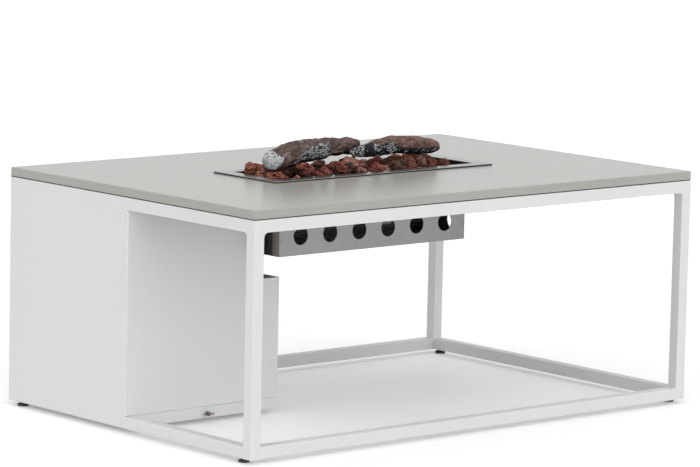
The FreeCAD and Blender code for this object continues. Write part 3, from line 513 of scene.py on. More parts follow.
finishes = {"white_powder_coat": white_coat, "taupe_powder_coat": grey_coat,
            "brushed_stainless": steel, "zinc_steel": zinc, "black_plastic": black_plastic,
            "pad_rubber": rubber, "brass": brass, "white_ceramic": ceramic,
            "aluminium_pipe": aluminium}
dressed = [node for node in frame["nodes"] if slots[node] in finishes]
for node in dressed:
    paint_with(frame["nodes"][node], finishes[slots[node]])
print("dressed:", len(dressed))


# %% [markdown]
# ## The welded frame
#
# Square tube is rolled, so its long edges are round, with about the radius of its wall. The
# solids have sharp edges, which no light can run along. The edges could be softened in the
# shader, but that would show in one renderer only. So each tube is copied, its triangles are
# merged into plain faces, and its long outer edges get a real bevel. At a weld the bevel stops,
# because there the weld was ground flush.

# %% Copy a solid as a mesh to work on
def copy_of(node, name, plain=True):
    """A merged copy of a solid's mesh, as a piece of its own, with plain faces made whole."""
    piece = bpy.data.objects.new(name, frame["nodes"][node].data.copy())
    bpy.context.scene.collection.objects.link(piece)
    edit_all(piece)
    bpy.ops.mesh.remove_doubles(threshold=1e-6)
    if plain:
        bpy.ops.mesh.dissolve_limited(angle_limit=math.radians(1))
    leave_edit()
    return piece


def finish_piece(piece, finish, body):
    """Paint a piece with a finish and give it its body."""
    paint_with(piece, finish)
    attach(piece, body)


def stand_for(piece, node, finish=None):
    """The piece takes a solid's place and its body, and the finish of the solid's slot unless it
    brings a finish of its own.
    """
    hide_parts(node)
    finish_piece(piece, finish or finishes[slots[node]], body_of[node])
    return piece


print("copying ready")


# %% Soften the tubes' long edges
TUBE, SOFT = 0.025, 0.0016
CLOSE, SAME = 1e-4, 1e-5
SHORTEST, CORNER = 0.02, (0.59, 0.39)
PANEL_X, PANEL_Y = -0.6, 0.0
X, Y, Z = range(3)
PANEL_EDGES = {"left_bottom_rail": (Z, 0.034), "left_top_rail": (Z, 0.455),
               "back_left_post": (Y, 0.375)}
LONG, SHORT = ("front", "back"), ("left", "right")
tubes = {"%s_%s_post" % (end, side): Z for end in LONG for side in SHORT}
tubes.update({"%s_%s_rail" % (side, at): X for at in ("top", "bottom") for side in LONG})
tubes.update({"%s_%s_rail" % (side, at): Y for at in ("top", "bottom", "cross")
              for side in SHORT})
tubes.update({"compartment_front_beam": X, "compartment_side_beam": Y})


def bisect_all(piece, place, normal):
    edit_all(piece)
    bpy.ops.mesh.bisect(plane_co=place, plane_no=normal)
    leave_edit()


def soften_tube(node, axis):
    """Bevel a tube's long outer edges, but not at a weld or beside the end panel."""
    piece = copy_of(node, node + "_tube")
    low, high = (Vector(corner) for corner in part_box(node))
    if axis != Z:
        high.z, low.z = (high.z, high.z - TUBE) if "top" in node or "cross" in node \
            else (low.z + TUBE, low.z)
    weld_low, weld_high = low.z + TUBE, high.z - TUBE
    if axis == Z:
        for height in (weld_low, weld_high):
            bisect_all(piece, (0, 0, height), (0, 0, 1))
    elif node in PANEL_EDGES:
        bisect_all(piece, (0, PANEL_Y, 0), (0, 1, 0))
    others = [i for i in (X, Y, Z) if i != axis]

    def beside_panel(spot):
        """On the edge that lies flush against the compartment's end panel."""
        if node not in PANEL_EDGES or abs(spot.x - PANEL_X) > CLOSE or spot.y < PANEL_Y + CLOSE:
            return False
        way, place = PANEL_EDGES[node]
        return abs(spot[way] - place) < CLOSE

    def long_outer(edge):
        a, b = edge_ends(piece.data, edge)
        if beside_panel((a + b) / 2):
            return False
        reach = abs(a[axis] - b[axis])
        if reach < SHORTEST or (a - b).length - reach > SAME:
            return False
        at_corner = all(min(abs(a[i] - low[i]), abs(a[i] - high[i])) < SAME for i in others)
        if not at_corner or axis != Z:
            return at_corner
        outside = all(abs(a[i]) > CORNER[i] for i in others)
        return outside or weld_low < (a.z + b.z) / 2 < weld_high

    count = pick(piece, "edge", long_outer)
    bpy.ops.mesh.bevel(offset=SOFT, segments=3, profile=0.5, affect="EDGES",
                       clamp_overlap=True)
    leave_edit()
    smooth(piece, 40)
    flatten(piece)
    stand_for(piece, node)
    return count


softened = {node: soften_tube(node, axis) for node, axis in tubes.items()}
print("edges softened:", softened)


# %% [markdown]
# ## The two ceramic logs
#
# The logs are cast ceramic, painted to look half burnt: brown bark above, black char with pale
# ash flakes below, and a silvery end. Each one is grown like a branch drawn by hand. A circle
# stands at the thick end, is extruded to the next place, made wider or narrower there, and so
# on to the far tip. Two rounds of subdivision would smooth it but leave long thin faces, so a
# voxel remesh follows, which gives even little faces for the bark to be carved in.

# %% Places of the logs' rings, in millimetres: along, across, height, radius
LEFT_LOG = [(-257, -10, 532, 8), (-250, -10, 532.5, 16), (-240, -9.5, 534, 20.5),
            (-228, -9, 535.5, 23), (-205, -7, 538, 26), (-187, -5, 541, 27),
            (-164, -3.5, 546, 24.8), (-140, -2, 548, 24), (-115, 1, 548.5, 24),
            (-82, 4, 549, 22), (-49, 7, 550, 19.5), (-32, 8, 550.5, 19),
            (-7, 10, 551, 18), (11, 12.5, 551.5, 14.5), (20, 14, 551.5, 9),
            (23, 14, 551.5, 4)]
RIGHT_LOG = [(-38, -30, 541, 4), (-32, -30, 540, 8), (-12, -27, 540, 12.5),
             (10, -24, 541, 15), (32, -20, 543, 17), (54, -17, 545, 18.5),
             (80, -13, 546, 19.5), (107, -9, 546.5, 19.5), (143, -4, 543.5, 20),
             (179, 0, 539.5, 19), (211, 3, 536.5, 16.5), (234, 5.5, 534, 12.5),
             (241, 6, 533.5, 6)]
RING, LOG_GRID = 24, 0.00115


def grow_log(name, stations):
    """A closed log, extruded ring by ring along its stations."""
    places = [Vector(station[:3]) / 1000 for station in stations]
    radii = [station[3] / 1000 for station in stations]
    log = start(name, bpy.ops.mesh.primitive_circle_add, vertices=RING, radius=radii[0],
                fill_type="NGON", location=places[0], rotation=(0, math.pi / 2, 0))
    settle(log)
    edit_all(log)
    for before, after, old, new in zip(places, places[1:], radii, radii[1:]):
        bpy.ops.mesh.extrude_region_move(TRANSFORM_OT_translate={"value": after - before})
        bpy.ops.transform.resize(value=(1, new / old, new / old), center_override=after)
    face_outward()
    rounder = log.modifiers.new("rounder", "SUBSURF")
    rounder.levels = rounder.render_levels = 2
    grid = log.modifiers.new("grid", "REMESH")
    grid.mode, grid.voxel_size = "VOXEL", LOG_GRID
    apply_modifiers(log)
    return log


logs = {"left_log": grow_log("left_fire_log", LEFT_LOG),
        "right_log": grow_log("right_fire_log", RIGHT_LOG)}
print({name: len(log.data.polygons) for name, log in logs.items()})


# %% [markdown]
# ### Carving the bark
#
# Bark could be a bump in the finish, but a bump never changes the outline, and these logs stand
# against a bright background. So every vertex is pushed in or out along its normal: broad
# knobs first, then knots about a centimetre wide, then short fibres along the log. The same
# step paints three masks on the vertices, which the finish reads later: how deep a spot lies,
# where the paint is charred, and where pale ash flakes lie on it.

# %% Helpers for carving
def rough(place, scale):
    return rough_noise.noise(place * scale)


def soft_step(low, high, value):
    share = min(max((value - low) / (high - low), 0), 1)
    return share * share * (3 - 2 * share)


def cell_gap(place):
    """How far a place is from the border of its cell: nothing on the border."""
    near = rough_noise.voronoi(place)[0]
    return near[1] - near[0]


def along_line(points, along):
    """The points' other numbers, read off a line through them at a value of the first."""
    for before, after in zip(points, points[1:]):
        if along <= after[0]:
            break
    share = min(max((along - before[0]) / (after[0] - before[0]), 0), 1)
    return [low + (high - low) * share for low, high in zip(before[1:], after[1:])]


def carve(mesh, mask, shape):
    """Move every vertex and colour it; a shape gives both from its place and normal."""
    colour = mesh.color_attributes.new(mask, "FLOAT_COLOR", "POINT")
    found = [shape(vertex.co.copy(), vertex.normal.copy()) for vertex in mesh.vertices]
    for vertex, spot, (place, tone) in zip(mesh.vertices, colour.data, found):
        vertex.co, spot.color = place, tone


print("carving helpers ready")


# %% Where each log is burnt
def left_masks(place, normal):
    """Char and flakes of the left log: a silvery end, one burnt patch on the front, and char on
    the underside that is partly painted shade.
    """
    x, y, z = place * 1000
    wobble = 3 * rough(place, 60) + 2 * rough(place, 190)
    end = ((x + 249 + wobble) / 27) ** 2 + ((z - 535 + wobble) / 20) ** 2
    facing = soft_step(0.1, 0.3, normal.dot(Vector((-0.75, -0.65, 0.1))))
    silver = (1 - soft_step(0.84, 1.0, end)) * facing
    rim = (1 - soft_step(1.02, 1.16, end)) * facing
    top = along_line([(-200, 512), (-180, 538), (-160, 552), (-138, 559), (-112, 563),
                      (-95, 563), (-84, 554), (-76, 528)], x + 0.6 * wobble)[0]
    patch = 1 - soft_step(top - 2, top + 2, z + wobble)
    patch *= (1 - soft_step(0.35, 0.6, normal.y)) * soft_step(-200, -192, x)
    # The down-facing underside is painted black: partly char, partly painted shade under the log.
    under = (1 - soft_step(-0.66, -0.45, normal.z)) * soft_step(-175, -150, x)
    char = max(rim, patch, under)
    crackle = cell_gap(Vector((x * 0.08, y * 0.12, z * 0.24)) + Vector((9, 2, 5)))
    flake = silver * soft_step(0.0, 0.07, crackle)
    flake *= soft_step(-0.62, -0.3, rough(place, 240))
    flake *= 0.62 + 0.38 * soft_step(-262, -246, x + 0.4 * (z - 535))
    scales = cell_gap(Vector((x * 0.15 - z * 0.07, y * 0.1, z * 0.16 + x * 0.06)))
    marks = soft_step(0.08, 0.2, scales) * soft_step(-0.35, 0.0, rough(place, 300))
    spread = rough_noise.noise(place * 60 + Vector((3, 1, 7))) + 0.75
    marks *= patch * soft_step(0.05, 0.45, spread) * soft_step(-0.8, -0.5, normal.z)
    return char, max(flake, 0.8 * marks)


def right_masks(place, normal):
    """Char and flakes of the right log: a burnt tip and a burnt band along its underside."""
    x, y, z = place * 1000
    wobble = 3 * rough(place, 55) + 2 * rough(place, 200)
    line = along_line([(-40, 580), (6, 572), (18, 558), (45, 552), (65, 557), (80, 554),
                       (92, 546), (124, 540), (164, 536.5), (205, 535.5), (242, 533)], x)[0]
    char = 1 - soft_step(line - 2, line + 2, z + wobble)
    behind = soft_step(0.2, 0.5, normal.y)
    char *= 1 - behind * soft_step(-10, 20, x) * soft_step(-0.55, -0.3, normal.z)
    scales = cell_gap(Vector((x * 0.19 - z * 0.05, y * 0.13, z * 0.15)) + Vector((4, 4, 1)))
    marks = soft_step(0.1, 0.26, scales) * soft_step(-0.3, 0.05, rough(place, 300))
    tip = 0.5 * (1 - soft_step(-20, 4, x))
    first = 0.33 * math.exp(-((x - 34) / 14) ** 2)
    main = 0.62 * math.exp(-((x - 74) / 15) ** 2) * soft_step(528, 540, z)
    edge = 0.3 * math.exp(-((z - line + 6) / 5) ** 2) * (1 - soft_step(205, 238, x))
    amount = max(tip, first, main, edge, 0.1)
    sprinkle = 0.5 + 0.5 * rough_noise.noise(place * 130 + Vector((5, 8, 2)))
    return char, 0.85 * char * marks * soft_step(0.7 - amount, 0.85 - amount, sprinkle)


print("masks ready")


# %% Carve the logs
HEADROOM, SOFT_CAP = 0.003, 0.0028


def carve_log(log, stations, masks, knob, knot, fibre):
    """Push the surface in and out and keep depth, char and flakes as a vertex colour."""
    metres = [[size / 1000 for size in station] for station in stations]

    def bark(place, normal):
        char, flake = masks(place, normal)
        broad = rough(place, 38) + 0.4 * rough(place, 85)
        knots = 0.5 - min(cell_gap(place * 62), 1)
        middle_y, middle_z, radius = along_line(metres, place.x)
        around = math.atan2(place.z - middle_z, place.y - middle_y)
        fibres = Vector((place.x * 48, around * 3.2, radius * 90))
        strand = rough_noise.fractal(fibres, 0.9, 2.2, 4)
        grit = rough(place, 520)
        plain = 1 - 0.7 * max(char, 0)
        push = knob * broad - knot * plain * max(knots, -0.2) + fibre * plain * strand
        push += 0.0004 * grit + 0.0007 * flake
        place += normal * push
        above = place.z - (cad_box[1][2] - HEADROOM)
        if above > 0:
            place.z -= above - SOFT_CAP * (1 - math.exp(-above / SOFT_CAP))
        depth = 0.5 + 0.5 * (0.9 * strand - 0.8 * max(knots, 0) + 0.5 * grit)
        return place, (min(max(depth, 0), 1), char, flake, 1)

    carve(log.data, "burn", bark)
    smooth(log, 180)


carve_log(logs["left_log"], LEFT_LOG, left_masks, 0.004, 0.0034, 0.0008)
carve_log(logs["right_log"], RIGHT_LOG, right_masks, 0.0022, 0.0014, 0.0017)
print("logs carved")


# %% [markdown]
# ### The logs' paint
#
# The bark's brown is mixed from its depth: darker in the hollows, lighter on the high spots. Char
# goes over it where the mask says so, and the ash flakes go over the char. The left log is a cool
# brown, the right one is redder and speckled with tan.

# %% Log paint
def log_paint(name, hollow, middle, high, speck, speck_share):
    finish = new_finish(name, 0.7)
    burn = add(finish, "Attribute", attribute_name="burn").outputs["Color"]
    parts = add(finish, "SeparateColor", {"Color": burn}).outputs
    where = place_on(finish)
    tone = sums(finish, "ADD", parts["Red"],
                times_past(finish, noise(finish, where, 60, 5, 0.65), 0.5, 1.6))
    bark = ramp(finish, tone, (0.12, hollow), (0.5, middle), (0.88, high))
    grain = noise(finish, place_on(finish, (260, 900, 900)), 1.0, 3, 0.6)
    bark = mix(finish, ramp(finish, grain, (0.34, 0.6), (0.44, 0.0)), bark, hollow)
    bark = mix(finish, ramp(finish, grain, (0.56, 0.0), (0.66, speck_share)), bark, speck)
    soot_and_shade = ramp(finish, noise(finish, where, 160, 3), (0.35, (0.003, 0.0035, 0.005)),
                (0.7, (0.014, 0.015, 0.019)))
    ash = ramp(finish, noise(finish, where, 240, 3), (0.35, (0.42, 0.43, 0.45)),
               (0.65, (0.68, 0.68, 0.69)))
    painted = mix(finish, parts["Green"], bark, soot_and_shade)
    painted = mix(finish, parts["Blue"], painted, ash)
    feed(finish, "Base Color", painted)
    feed(finish, "Roughness", ramp(finish, parts["Green"], (0.2, 0.72), (0.8, 0.6)))
    feed(finish, "Specular IOR Level", ramp(finish, parts["Green"], (0.2, 0.35), (0.8, 0.15)))
    bump(finish, noise(finish, where, 700, 3, 0.6), 0.5, 0.0004)
    return finish


cool_bark = log_paint("left_log_paint", (0.028, 0.017, 0.014), (0.118, 0.076, 0.066),
                      (0.26, 0.185, 0.175), (0.31, 0.235, 0.21), 0.5)
red_bark = log_paint("right_log_paint", (0.045, 0.02, 0.015), (0.165, 0.093, 0.072),
                     (0.29, 0.175, 0.135), (0.46, 0.35, 0.27), 0.85)
for node, finish in (("left_log", cool_bark), ("right_log", red_bark)):
    stand_for(logs[node], node, finish)
print("logs painted")


# %% [markdown]
# ## Lava stones
#
# Lava stone is broken foam: lumps three to five centimetres wide, rusty brown, with rounded
# corners and pores all over. Sculpting a hundred of them by hand would take a day. Instead six
# master stones are broken out of balls: a few flats are cut off with the bisect tool, a
# remesh evens the faces, and the surface is carved with lumps and pores. Every stone in the
# bed is a turned and stretched copy of a master with a mesh of its own.

# %% Six master stones
chance = random.Random(11)
MASTERS, FLATS, STONE_GRID = 6, 7, 0.083


def broken_ball(number):
    stone = start("master_stone_%d" % number, bpy.ops.mesh.primitive_ico_sphere_add,
                  subdivisions=4, radius=1, location=(0, 0, 0))
    bpy.ops.object.mode_set(mode="EDIT")
    for _ in range(FLATS):
        away = Vector([chance.gauss(0, 1) for _ in range(3)]).normalized()
        bpy.ops.mesh.select_all(action="SELECT")
        bpy.ops.mesh.bisect(plane_co=away * chance.uniform(0.62, 0.86), plane_no=away,
                            use_fill=True, clear_outer=True)
    leave_edit()
    grid = stone.modifiers.new("grid", "REMESH")
    grid.mode, grid.voxel_size = "VOXEL", STONE_GRID
    relax = stone.modifiers.new("relax", "SMOOTH")
    relax.factor, relax.iterations = 0.5, 3
    apply_modifiers(stone)
    return stone


def pore_stone(stone, seed):
    """Give a stone lumps and pores, and keep the pores' depth as a vertex colour."""
    def pores(place, normal):
        spot = place + Vector((seed * 7.3, seed * 3.1, seed * 5.7))
        lump = rough(spot, 1.2) + 0.5 * rough(spot, 2.7)
        ridge = min(cell_gap(spot * 1.6), 0.7)
        hole = rough_noise.voronoi(spot * 3.4)[0][0]
        small = rough_noise.voronoi(spot * 7.5)[0][0]
        pit = 1 - soft_step(0.16, 0.46, hole)
        dot = 1 - soft_step(0.14, 0.4, small)
        push = 0.22 * lump + 0.2 * ridge - 0.12 * pit - 0.05 * dot
        # A low value marks pits and dots, which the finish darkens as painted shade.
        deep = min(max(0.7 - 0.65 * pit - 0.35 * dot + 0.5 * (ridge - 0.25), 0), 1)
        return place + normal * push, (deep, deep, deep, 1)

    carve(stone.data, "pores", pores)


masters = [broken_ball(number) for number in range(MASTERS)]
for seed, stone in enumerate(masters):
    pore_stone(stone, seed)
print("masters:", [len(stone.data.polygons) for stone in masters])


# %% [markdown]
# The bed follows the solids: where the CAD model has one plain stone, the lesson lays one lump
# at its top and another under it, a little turned and shifted, so that the rows don't show. A
# copy of the solid is taken apart into its stones, which give their boxes and are then deleted.
# Stones under a log must not stick into it. A line is dropped from each vertex up to the log,
# and what would be inside the log is pressed down to just below it.

# %% Boxes of the plain stones in the solid
def corners(piece):
    """The lowest and the highest corner round a piece."""
    spots = [vertex.co for vertex in piece.data.vertices]
    return Vector(map(min, zip(*spots))), Vector(map(max, zip(*spots)))


edit_all(copy_of("lava_rocks", "plain_stones"))
bpy.ops.mesh.separate(type="LOOSE")
leave_edit()
plain_stones = list(bpy.context.selected_objects)
boxes = sorted(map(corners, plain_stones), key=lambda box: (round(box[0].y, 2), box[0].x))
for stone in plain_stones:
    bpy.data.objects.remove(stone)
print("plain stones:", len(boxes))


# %% Lay the stones
TRAY_X, TRAY_Y, BRIM = 0.2675, 0.0728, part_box("burner_flange")[1][2]
BED_LOW, LOG_GAP, THINNEST = 0.45, 0.0006, 0.012
log_trees = [BVHTree.FromPolygons([vertex.co.copy() for vertex in log.data.vertices],
                                  [face.vertices for face in log.data.polygons])
             for log in logs.values()]


def lay_stone(middle, size, soot_and_shade=0.0):
    """A copy of a master, turned at random and fitted to a size, kept in the tray.

    Each stone keeps a tint and a share of soot and painted shade of its own beside its pores.
    """
    stone = chance.choice(masters).copy()
    stone.data = stone.data.copy()
    bpy.context.scene.collection.objects.link(stone)
    spin = Matrix.Rotation(chance.uniform(0, 2 * math.pi), 4,
                           Vector([chance.gauss(0, 1) for _ in range(3)]).normalized())
    stone.data.transform(spin)
    low, high = corners(stone)
    fit = Vector([size[i] / (high[i] - low[i]) for i in range(3)])
    centre = (low + high) / 2
    for vertex in stone.data.vertices:
        place = Vector([(vertex.co[i] - centre[i]) * fit[i] + middle[i] for i in range(3)])
        place.x = min(max(place.x, -TRAY_X), TRAY_X)
        place.y = min(max(place.y, -TRAY_Y), TRAY_Y)
        for tree in log_trees:
            over = tree.ray_cast(Vector((place.x, place.y, BED_LOW)), Vector((0, 0, 1)))[0]
            if over:
                place.z = min(place.z, over.z - LOG_GAP)
        vertex.co = place
    stone.data.update()
    tint = chance.random()
    for vertex, spot in zip(stone.data.vertices, stone.data.color_attributes["pores"].data):
        # Soot and painted shade: the lower part of a stone and its down-facing sides are
        # darkened.
        rise = (vertex.co.z - middle[2]) / size[2] + 0.12 * rough(vertex.co, 90)
        low = 1 - soft_step(-0.2, 0.2, rise)
        side = 0.85 * (1 - soft_step(-0.3, 0.5, vertex.normal.z))
        spot.color = (spot.color[0], tint, max(soot_and_shade, low, side), 1)
    return stone


def row_of(across, border):
    return "front" if across < -border else "back" if across > border else "middle"


def count_stones():
    print({row: len(stones) for row, stones in rows.items()})


rows = {"front": [], "middle": [], "back": []}
for low, high in boxes:
    middle, size = (low + high) / 2, high - low
    row = row_of(middle.y, 0.02)
    wide = Vector((chance.uniform(0.036, 0.047), chance.uniform(0.038, 0.046)))
    top = high.z if row != "front" else BRIM - chance.uniform(0.008, 0.022)
    # Each row's share of soot and painted shade, most in the middle row under the logs.
    soot_and_shade = {"front": 0.6, "middle": 0.75, "back": 0.25}[row]
    tall = min(top - low.z, chance.uniform(0.031, 0.04))
    shift = Vector((chance.uniform(-0.005, 0.005), chance.uniform(-0.003, 0.003)))
    if row == "back":
        shift.y -= 0.004
    spot = Vector((middle.x + shift.x, middle.y + shift.y, top - tall / 2))
    rows[row].append(lay_stone(spot, (wide.x, wide.y, tall), soot_and_shade))
    under = top - 0.7 * tall - low.z
    if under > THINNEST:
        spot = Vector((middle.x - shift.x, middle.y, low.z + under / 2))
        # A stone under another is darkened almost fully, as soot and painted shade.
        rows[row].append(lay_stone(spot, (wide.y, wide.x, under), 0.9))
count_stones()


# %% [markdown]
# The stones in front of the logs decide what the bed looks like, so these are laid one by one:
# a flat one under the silvery end, a tall one between the logs, and black gaps between them.

# %% The front stones and the left end, in millimetres: along, across, top, width, height
HAND_LAID = [(-243, 43, 526, 34, 40), (-226, 26, 524, 28, 34), (-250, 12, 511, 30, 34),
             (-240, -34, 515, 49, 34), (-212, -63, 508, 20, 20), (-176, -45, 531, 43, 42),
             (-151, -62, 512, 26, 26), (-127, -50, 522, 36, 40), (-75, -47, 526, 34, 42),
             (-52, -44, 535, 44, 48), (-36, -60, 514, 26, 30), (14, -50, 519, 40, 38),
             (76, -48, 524, 38, 42), (52, -40, 510, 28, 30), (112, -46, 527, 32, 42),
             (100, -62, 508, 22, 24), (143, -48, 527, 32, 42), (171, -46, 524, 34, 42),
             (158, -63, 508, 22, 22), (214, -46, 515, 28, 34)]
for along, across, top, wide, tall in HAND_LAID:
    spot = Vector((along, across, top - tall / 2)) / 1000
    size = (wide / 1000, wide * chance.uniform(0.85, 1.05) / 1000, tall / 1000)
    # Stones right of the middle get a share of soot and painted shade.
    rows[row_of(across, 0)].append(lay_stone(spot, size, 0.6 if along > 60 else 0.0))
count_stones()


# %% Chips between the stones
CHIPS = 40
for _ in range(CHIPS):
    x, y = chance.uniform(-0.24, 0.225), chance.choice((-0.022, 0.024, -0.062, 0.06))
    size = chance.uniform(0.014, 0.024)
    height = BRIM - chance.uniform(0.008, 0.018)
    row = row_of(y, 0.03)
    # Chips get a share of soot and painted shade.
    rows[row].append(lay_stone(Vector((x, y, height)), (size, size * 0.9, size * 0.8), 0.4))
count_stones()


# %% [markdown]
# The stones' finish is rust and clay over nearly black pores. Each stone brought its own tint
# along, so that one differs from its neighbour. The pore mask darkens the hollows as painted
# shade, and a share of soot and painted shade blackens the stones at the bottom, on their
# down-facing sides and under the logs.

# %% Lava finish and the three rows
lava = new_finish("lava_stone", 0.9, gloss=0.2)
where = place_on(lava)
kept = add(lava, "Attribute", attribute_name="pores").outputs["Color"]
kept = add(lava, "SeparateColor", {"Color": kept}).outputs
tint = ramp(lava, kept["Green"], (0.0, (0.2, 0.06, 0.048)), (0.3, (0.3, 0.1, 0.066)),
            (0.6, (0.38, 0.15, 0.098)), (0.8, (0.34, 0.17, 0.135)), (1.0, (0.22, 0.1, 0.088)))
cloud = ramp(lava, noise(lava, where, 70, 4, 0.6), (0.35, 0.36), (0.65, 1.85))
grit = ramp(lava, noise(lava, where, 420, 3, 0.65), (0.35, 0.42), (0.65, 1.3))
tint = mix(lava, 1.0, tint, cloud, "MULTIPLY")
tint = mix(lava, 1.0, tint, grit, "MULTIPLY")
# Painted shade: pits and pores are darkened nearly to black.
tint = mix(lava, ramp(lava, kept["Red"], (0.05, 0.9), (0.5, 0.0)), tint,
           (0.012, 0.006, 0.005))
# Soot and painted shade: each stone's share darkens it nearly to black.
tint = mix(lava, kept["Blue"], tint, (0.012, 0.005, 0.004))
feed(lava, "Base Color", tint)
feed(lava, "Roughness", ramp(lava, kept["Red"], (0.0, 0.98), (1.0, 0.82)))
bump(lava, noise(lava, where, 520, 4, 0.7), 0.8, 0.0007)

for row, stones in rows.items():
    bed_row = join(stones, row + "_stones")
    smooth(bed_row, 60)
    if row == "front":
        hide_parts("lava_rocks")
    finish_piece(bed_row, lava, "table")
    print(bed_row.name, len(bed_row.data.polygons))
for stone in masters:
    bpy.data.objects.remove(stone)


# %% [markdown]
# ## The tray, the dark ring under it and the box
#
# Sheet metal has a soft edge too, but a much smaller one than a tube: the flange's rim is
# rounded by less than half a millimetre. Between the flange and the top lies a dark rubber ring
# that paints the shadow in the gap: only its edge shows, as a thin dark line round the tray. It
# starts as a flat plane, the middle is cut out by an inset whose inner face is deleted, and the
# ring is then extruded to its thickness. A second dark strip between the top and the frame, which
# paints the shadow line under the top, is made the same way.

# %% Soft copies of folded and turned pieces
def soften(node, width, finish=None, name=None, flat=True):
    """A copy of a solid with its sharp edges bevelled, which takes the solid's place."""
    piece = copy_of(node, name or node + "_soft", plain=width > 0)
    if width:
        edge = piece.modifiers.new("edge", "BEVEL")
        edge.width, edge.segments, edge.limit_method = width, 2, "ANGLE"
        edge.angle_limit, edge.use_clamp_overlap = math.radians(30), True
        apply_modifiers(piece)
    smooth(piece, 40)
    if flat:
        flatten(piece)
    return stand_for(piece, node, finish)


print("softening ready")


# %% Dark rings for the shadow lines under the flange and under the top
PLAY, RING_HEIGHT = 0.0001, 0.0018


def flat_ring(name, half_size, width, low):
    """A flat dark rubber ring that starts just above a height and paints the shadow line of a
    gap.
    """
    piece = start(name, bpy.ops.mesh.primitive_plane_add, size=2, location=(0, 0, low + PLAY))
    bpy.ops.transform.resize(value=(half_size[0], half_size[1], 1))
    settle(piece)
    edit_all(piece)
    bpy.ops.mesh.inset(thickness=width)
    bpy.ops.mesh.delete(type="FACE")
    bpy.ops.mesh.select_all(action="SELECT")
    bpy.ops.mesh.extrude_region_move(TRANSFORM_OT_translate={"value": (0, 0, RING_HEIGHT)})
    face_outward()
    finish_piece(piece, rubber, "table")
    return piece


# Both rings are dark rubber put where the gaps show only shadow; they paint the shadow lines.
shadow_ring = flat_ring("flange_shadow_ring", (0.2985, 0.101), 0.0013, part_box("burner_flange")[0].z)
flat_ring("top_shadow_strip", (0.5988, 0.3988), 0.0026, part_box("top_pads")[0].z)
flange = soften("burner_flange", 0.0004)
print("seal faces:", len(shadow_ring.data.polygons), "flange faces:", len(flange.data.polygons))


# %% Sooty tray
TRAY_FLOOR = 0.462

# Brushed steel that flames have blackened, darker towards the bottom
sooty = new_finish("sooty_steel", 0.5, metal=0.7)
where = place_on(sooty)
height = add(sooty, "SeparateXYZ", {"Vector": where}).outputs["Z"]
share = sums(sooty, "ADD", times_past(sooty, height, TRAY_FLOOR, 25.0),
             times_past(sooty, noise(sooty, where, 30, 4), 0.5, 0.8))
feed(sooty, "Base Color", ramp(sooty, share, (0.2, (0.006, 0.0055, 0.005)),
                               (1.0, (0.03, 0.027, 0.025))))
feed(sooty, "Roughness", ramp(sooty, share, (0.2, 0.75), (1.0, 0.45)))
bump(sooty, noise(sooty, where, 260, 4), 0.3, 0.0002)
tray = soften("rock_pan", 0.0, finish=sooty, name="sooty_tray")
soften("burner_box", 0.0002, finish=box_steel)
soften("burner_tube", 0.0002, finish=sooty, flat=False)
soften("burner_saddles", 0.0002, finish=sooty)
print("tray faces:", len(tray.data.polygons))


# %% [markdown]
# ## Turned and moulded pieces
#
# Everything that came off a lathe or out of a round mould is drawn as its half outline: a list
# of distances along the axis and radii. The modelling follows that list with a circle, which
# is extruded along the axis and resized at each step, so small chamfers are two close steps.

# %% Turned piece
def turned(name, at, axis, outline, sides=48, spin=0.0):
    """A closed round piece from its half outline in millimetres, along x, y or z."""
    way = Vector([float(letter == axis) for letter in "xyz"])
    lying = {"x": (0, math.pi / 2, 0), "y": (-math.pi / 2, 0, 0), "z": (0, 0, 0)}[axis]
    at = Vector(at)
    (reach, radius), *steps = [(a / 1000, b / 1000) for a, b in outline]
    piece = start(name, bpy.ops.mesh.primitive_circle_add, vertices=sides, radius=radius,
                  fill_type="NGON", location=at + way * reach, rotation=lying)
    settle(piece)
    edit_all(piece)
    if spin:
        bpy.ops.transform.rotate(value=math.radians(spin), orient_axis=axis.upper(),
                                 center_override=at)
    for there, wide in steps:
        bpy.ops.mesh.extrude_region_move(TRANSFORM_OT_translate={"value": way * (there - reach)})
        if wide != radius:
            grow = [1.0 if letter == axis else wide / radius for letter in "xyz"]
            bpy.ops.transform.resize(value=grow, center_override=at + way * there)
        reach, radius = there, wide
    face_outward()
    smooth(piece, 35)
    return piece


def thread_of(first, pitch, count, steps, radii):
    """The half outline of a thread's ridges, each of which has the same steps."""
    return [(first + pitch * number + step, radius) for number in range(count)
            for step, radius in zip(steps, radii)]


print("lathe ready")


# %% [markdown]
# ### Rivets and feet
#
# Eight domed rivets hold the ends of the burner box, four on its front and four on its back.
# A levelling foot is a plastic disc with a hexagon neck and a threaded stud, modelled as three
# turned pieces and joined, with the thread as a row of small ridges.

# %% Rivets on the burner box
rivets = []
for x in (-0.253, 0.253):
    for z in (0.3725, 0.4485):
        for side, y in ((-1, -0.065), (1, 0.065)):
            dome = [(-0.5 * side, 2.1), (0.15 * side, 2.1), (0.55 * side, 1.9),
                    (0.85 * side, 1.4), (1.0 * side, 0.7)]
            rivets.append(turned("rivet", (x, y, z), "y", dome, 24))
rivets = join(rivets, "box_rivets")
finish_piece(rivets, steel, "table")
print("rivet faces:", len(rivets.data.polygons))


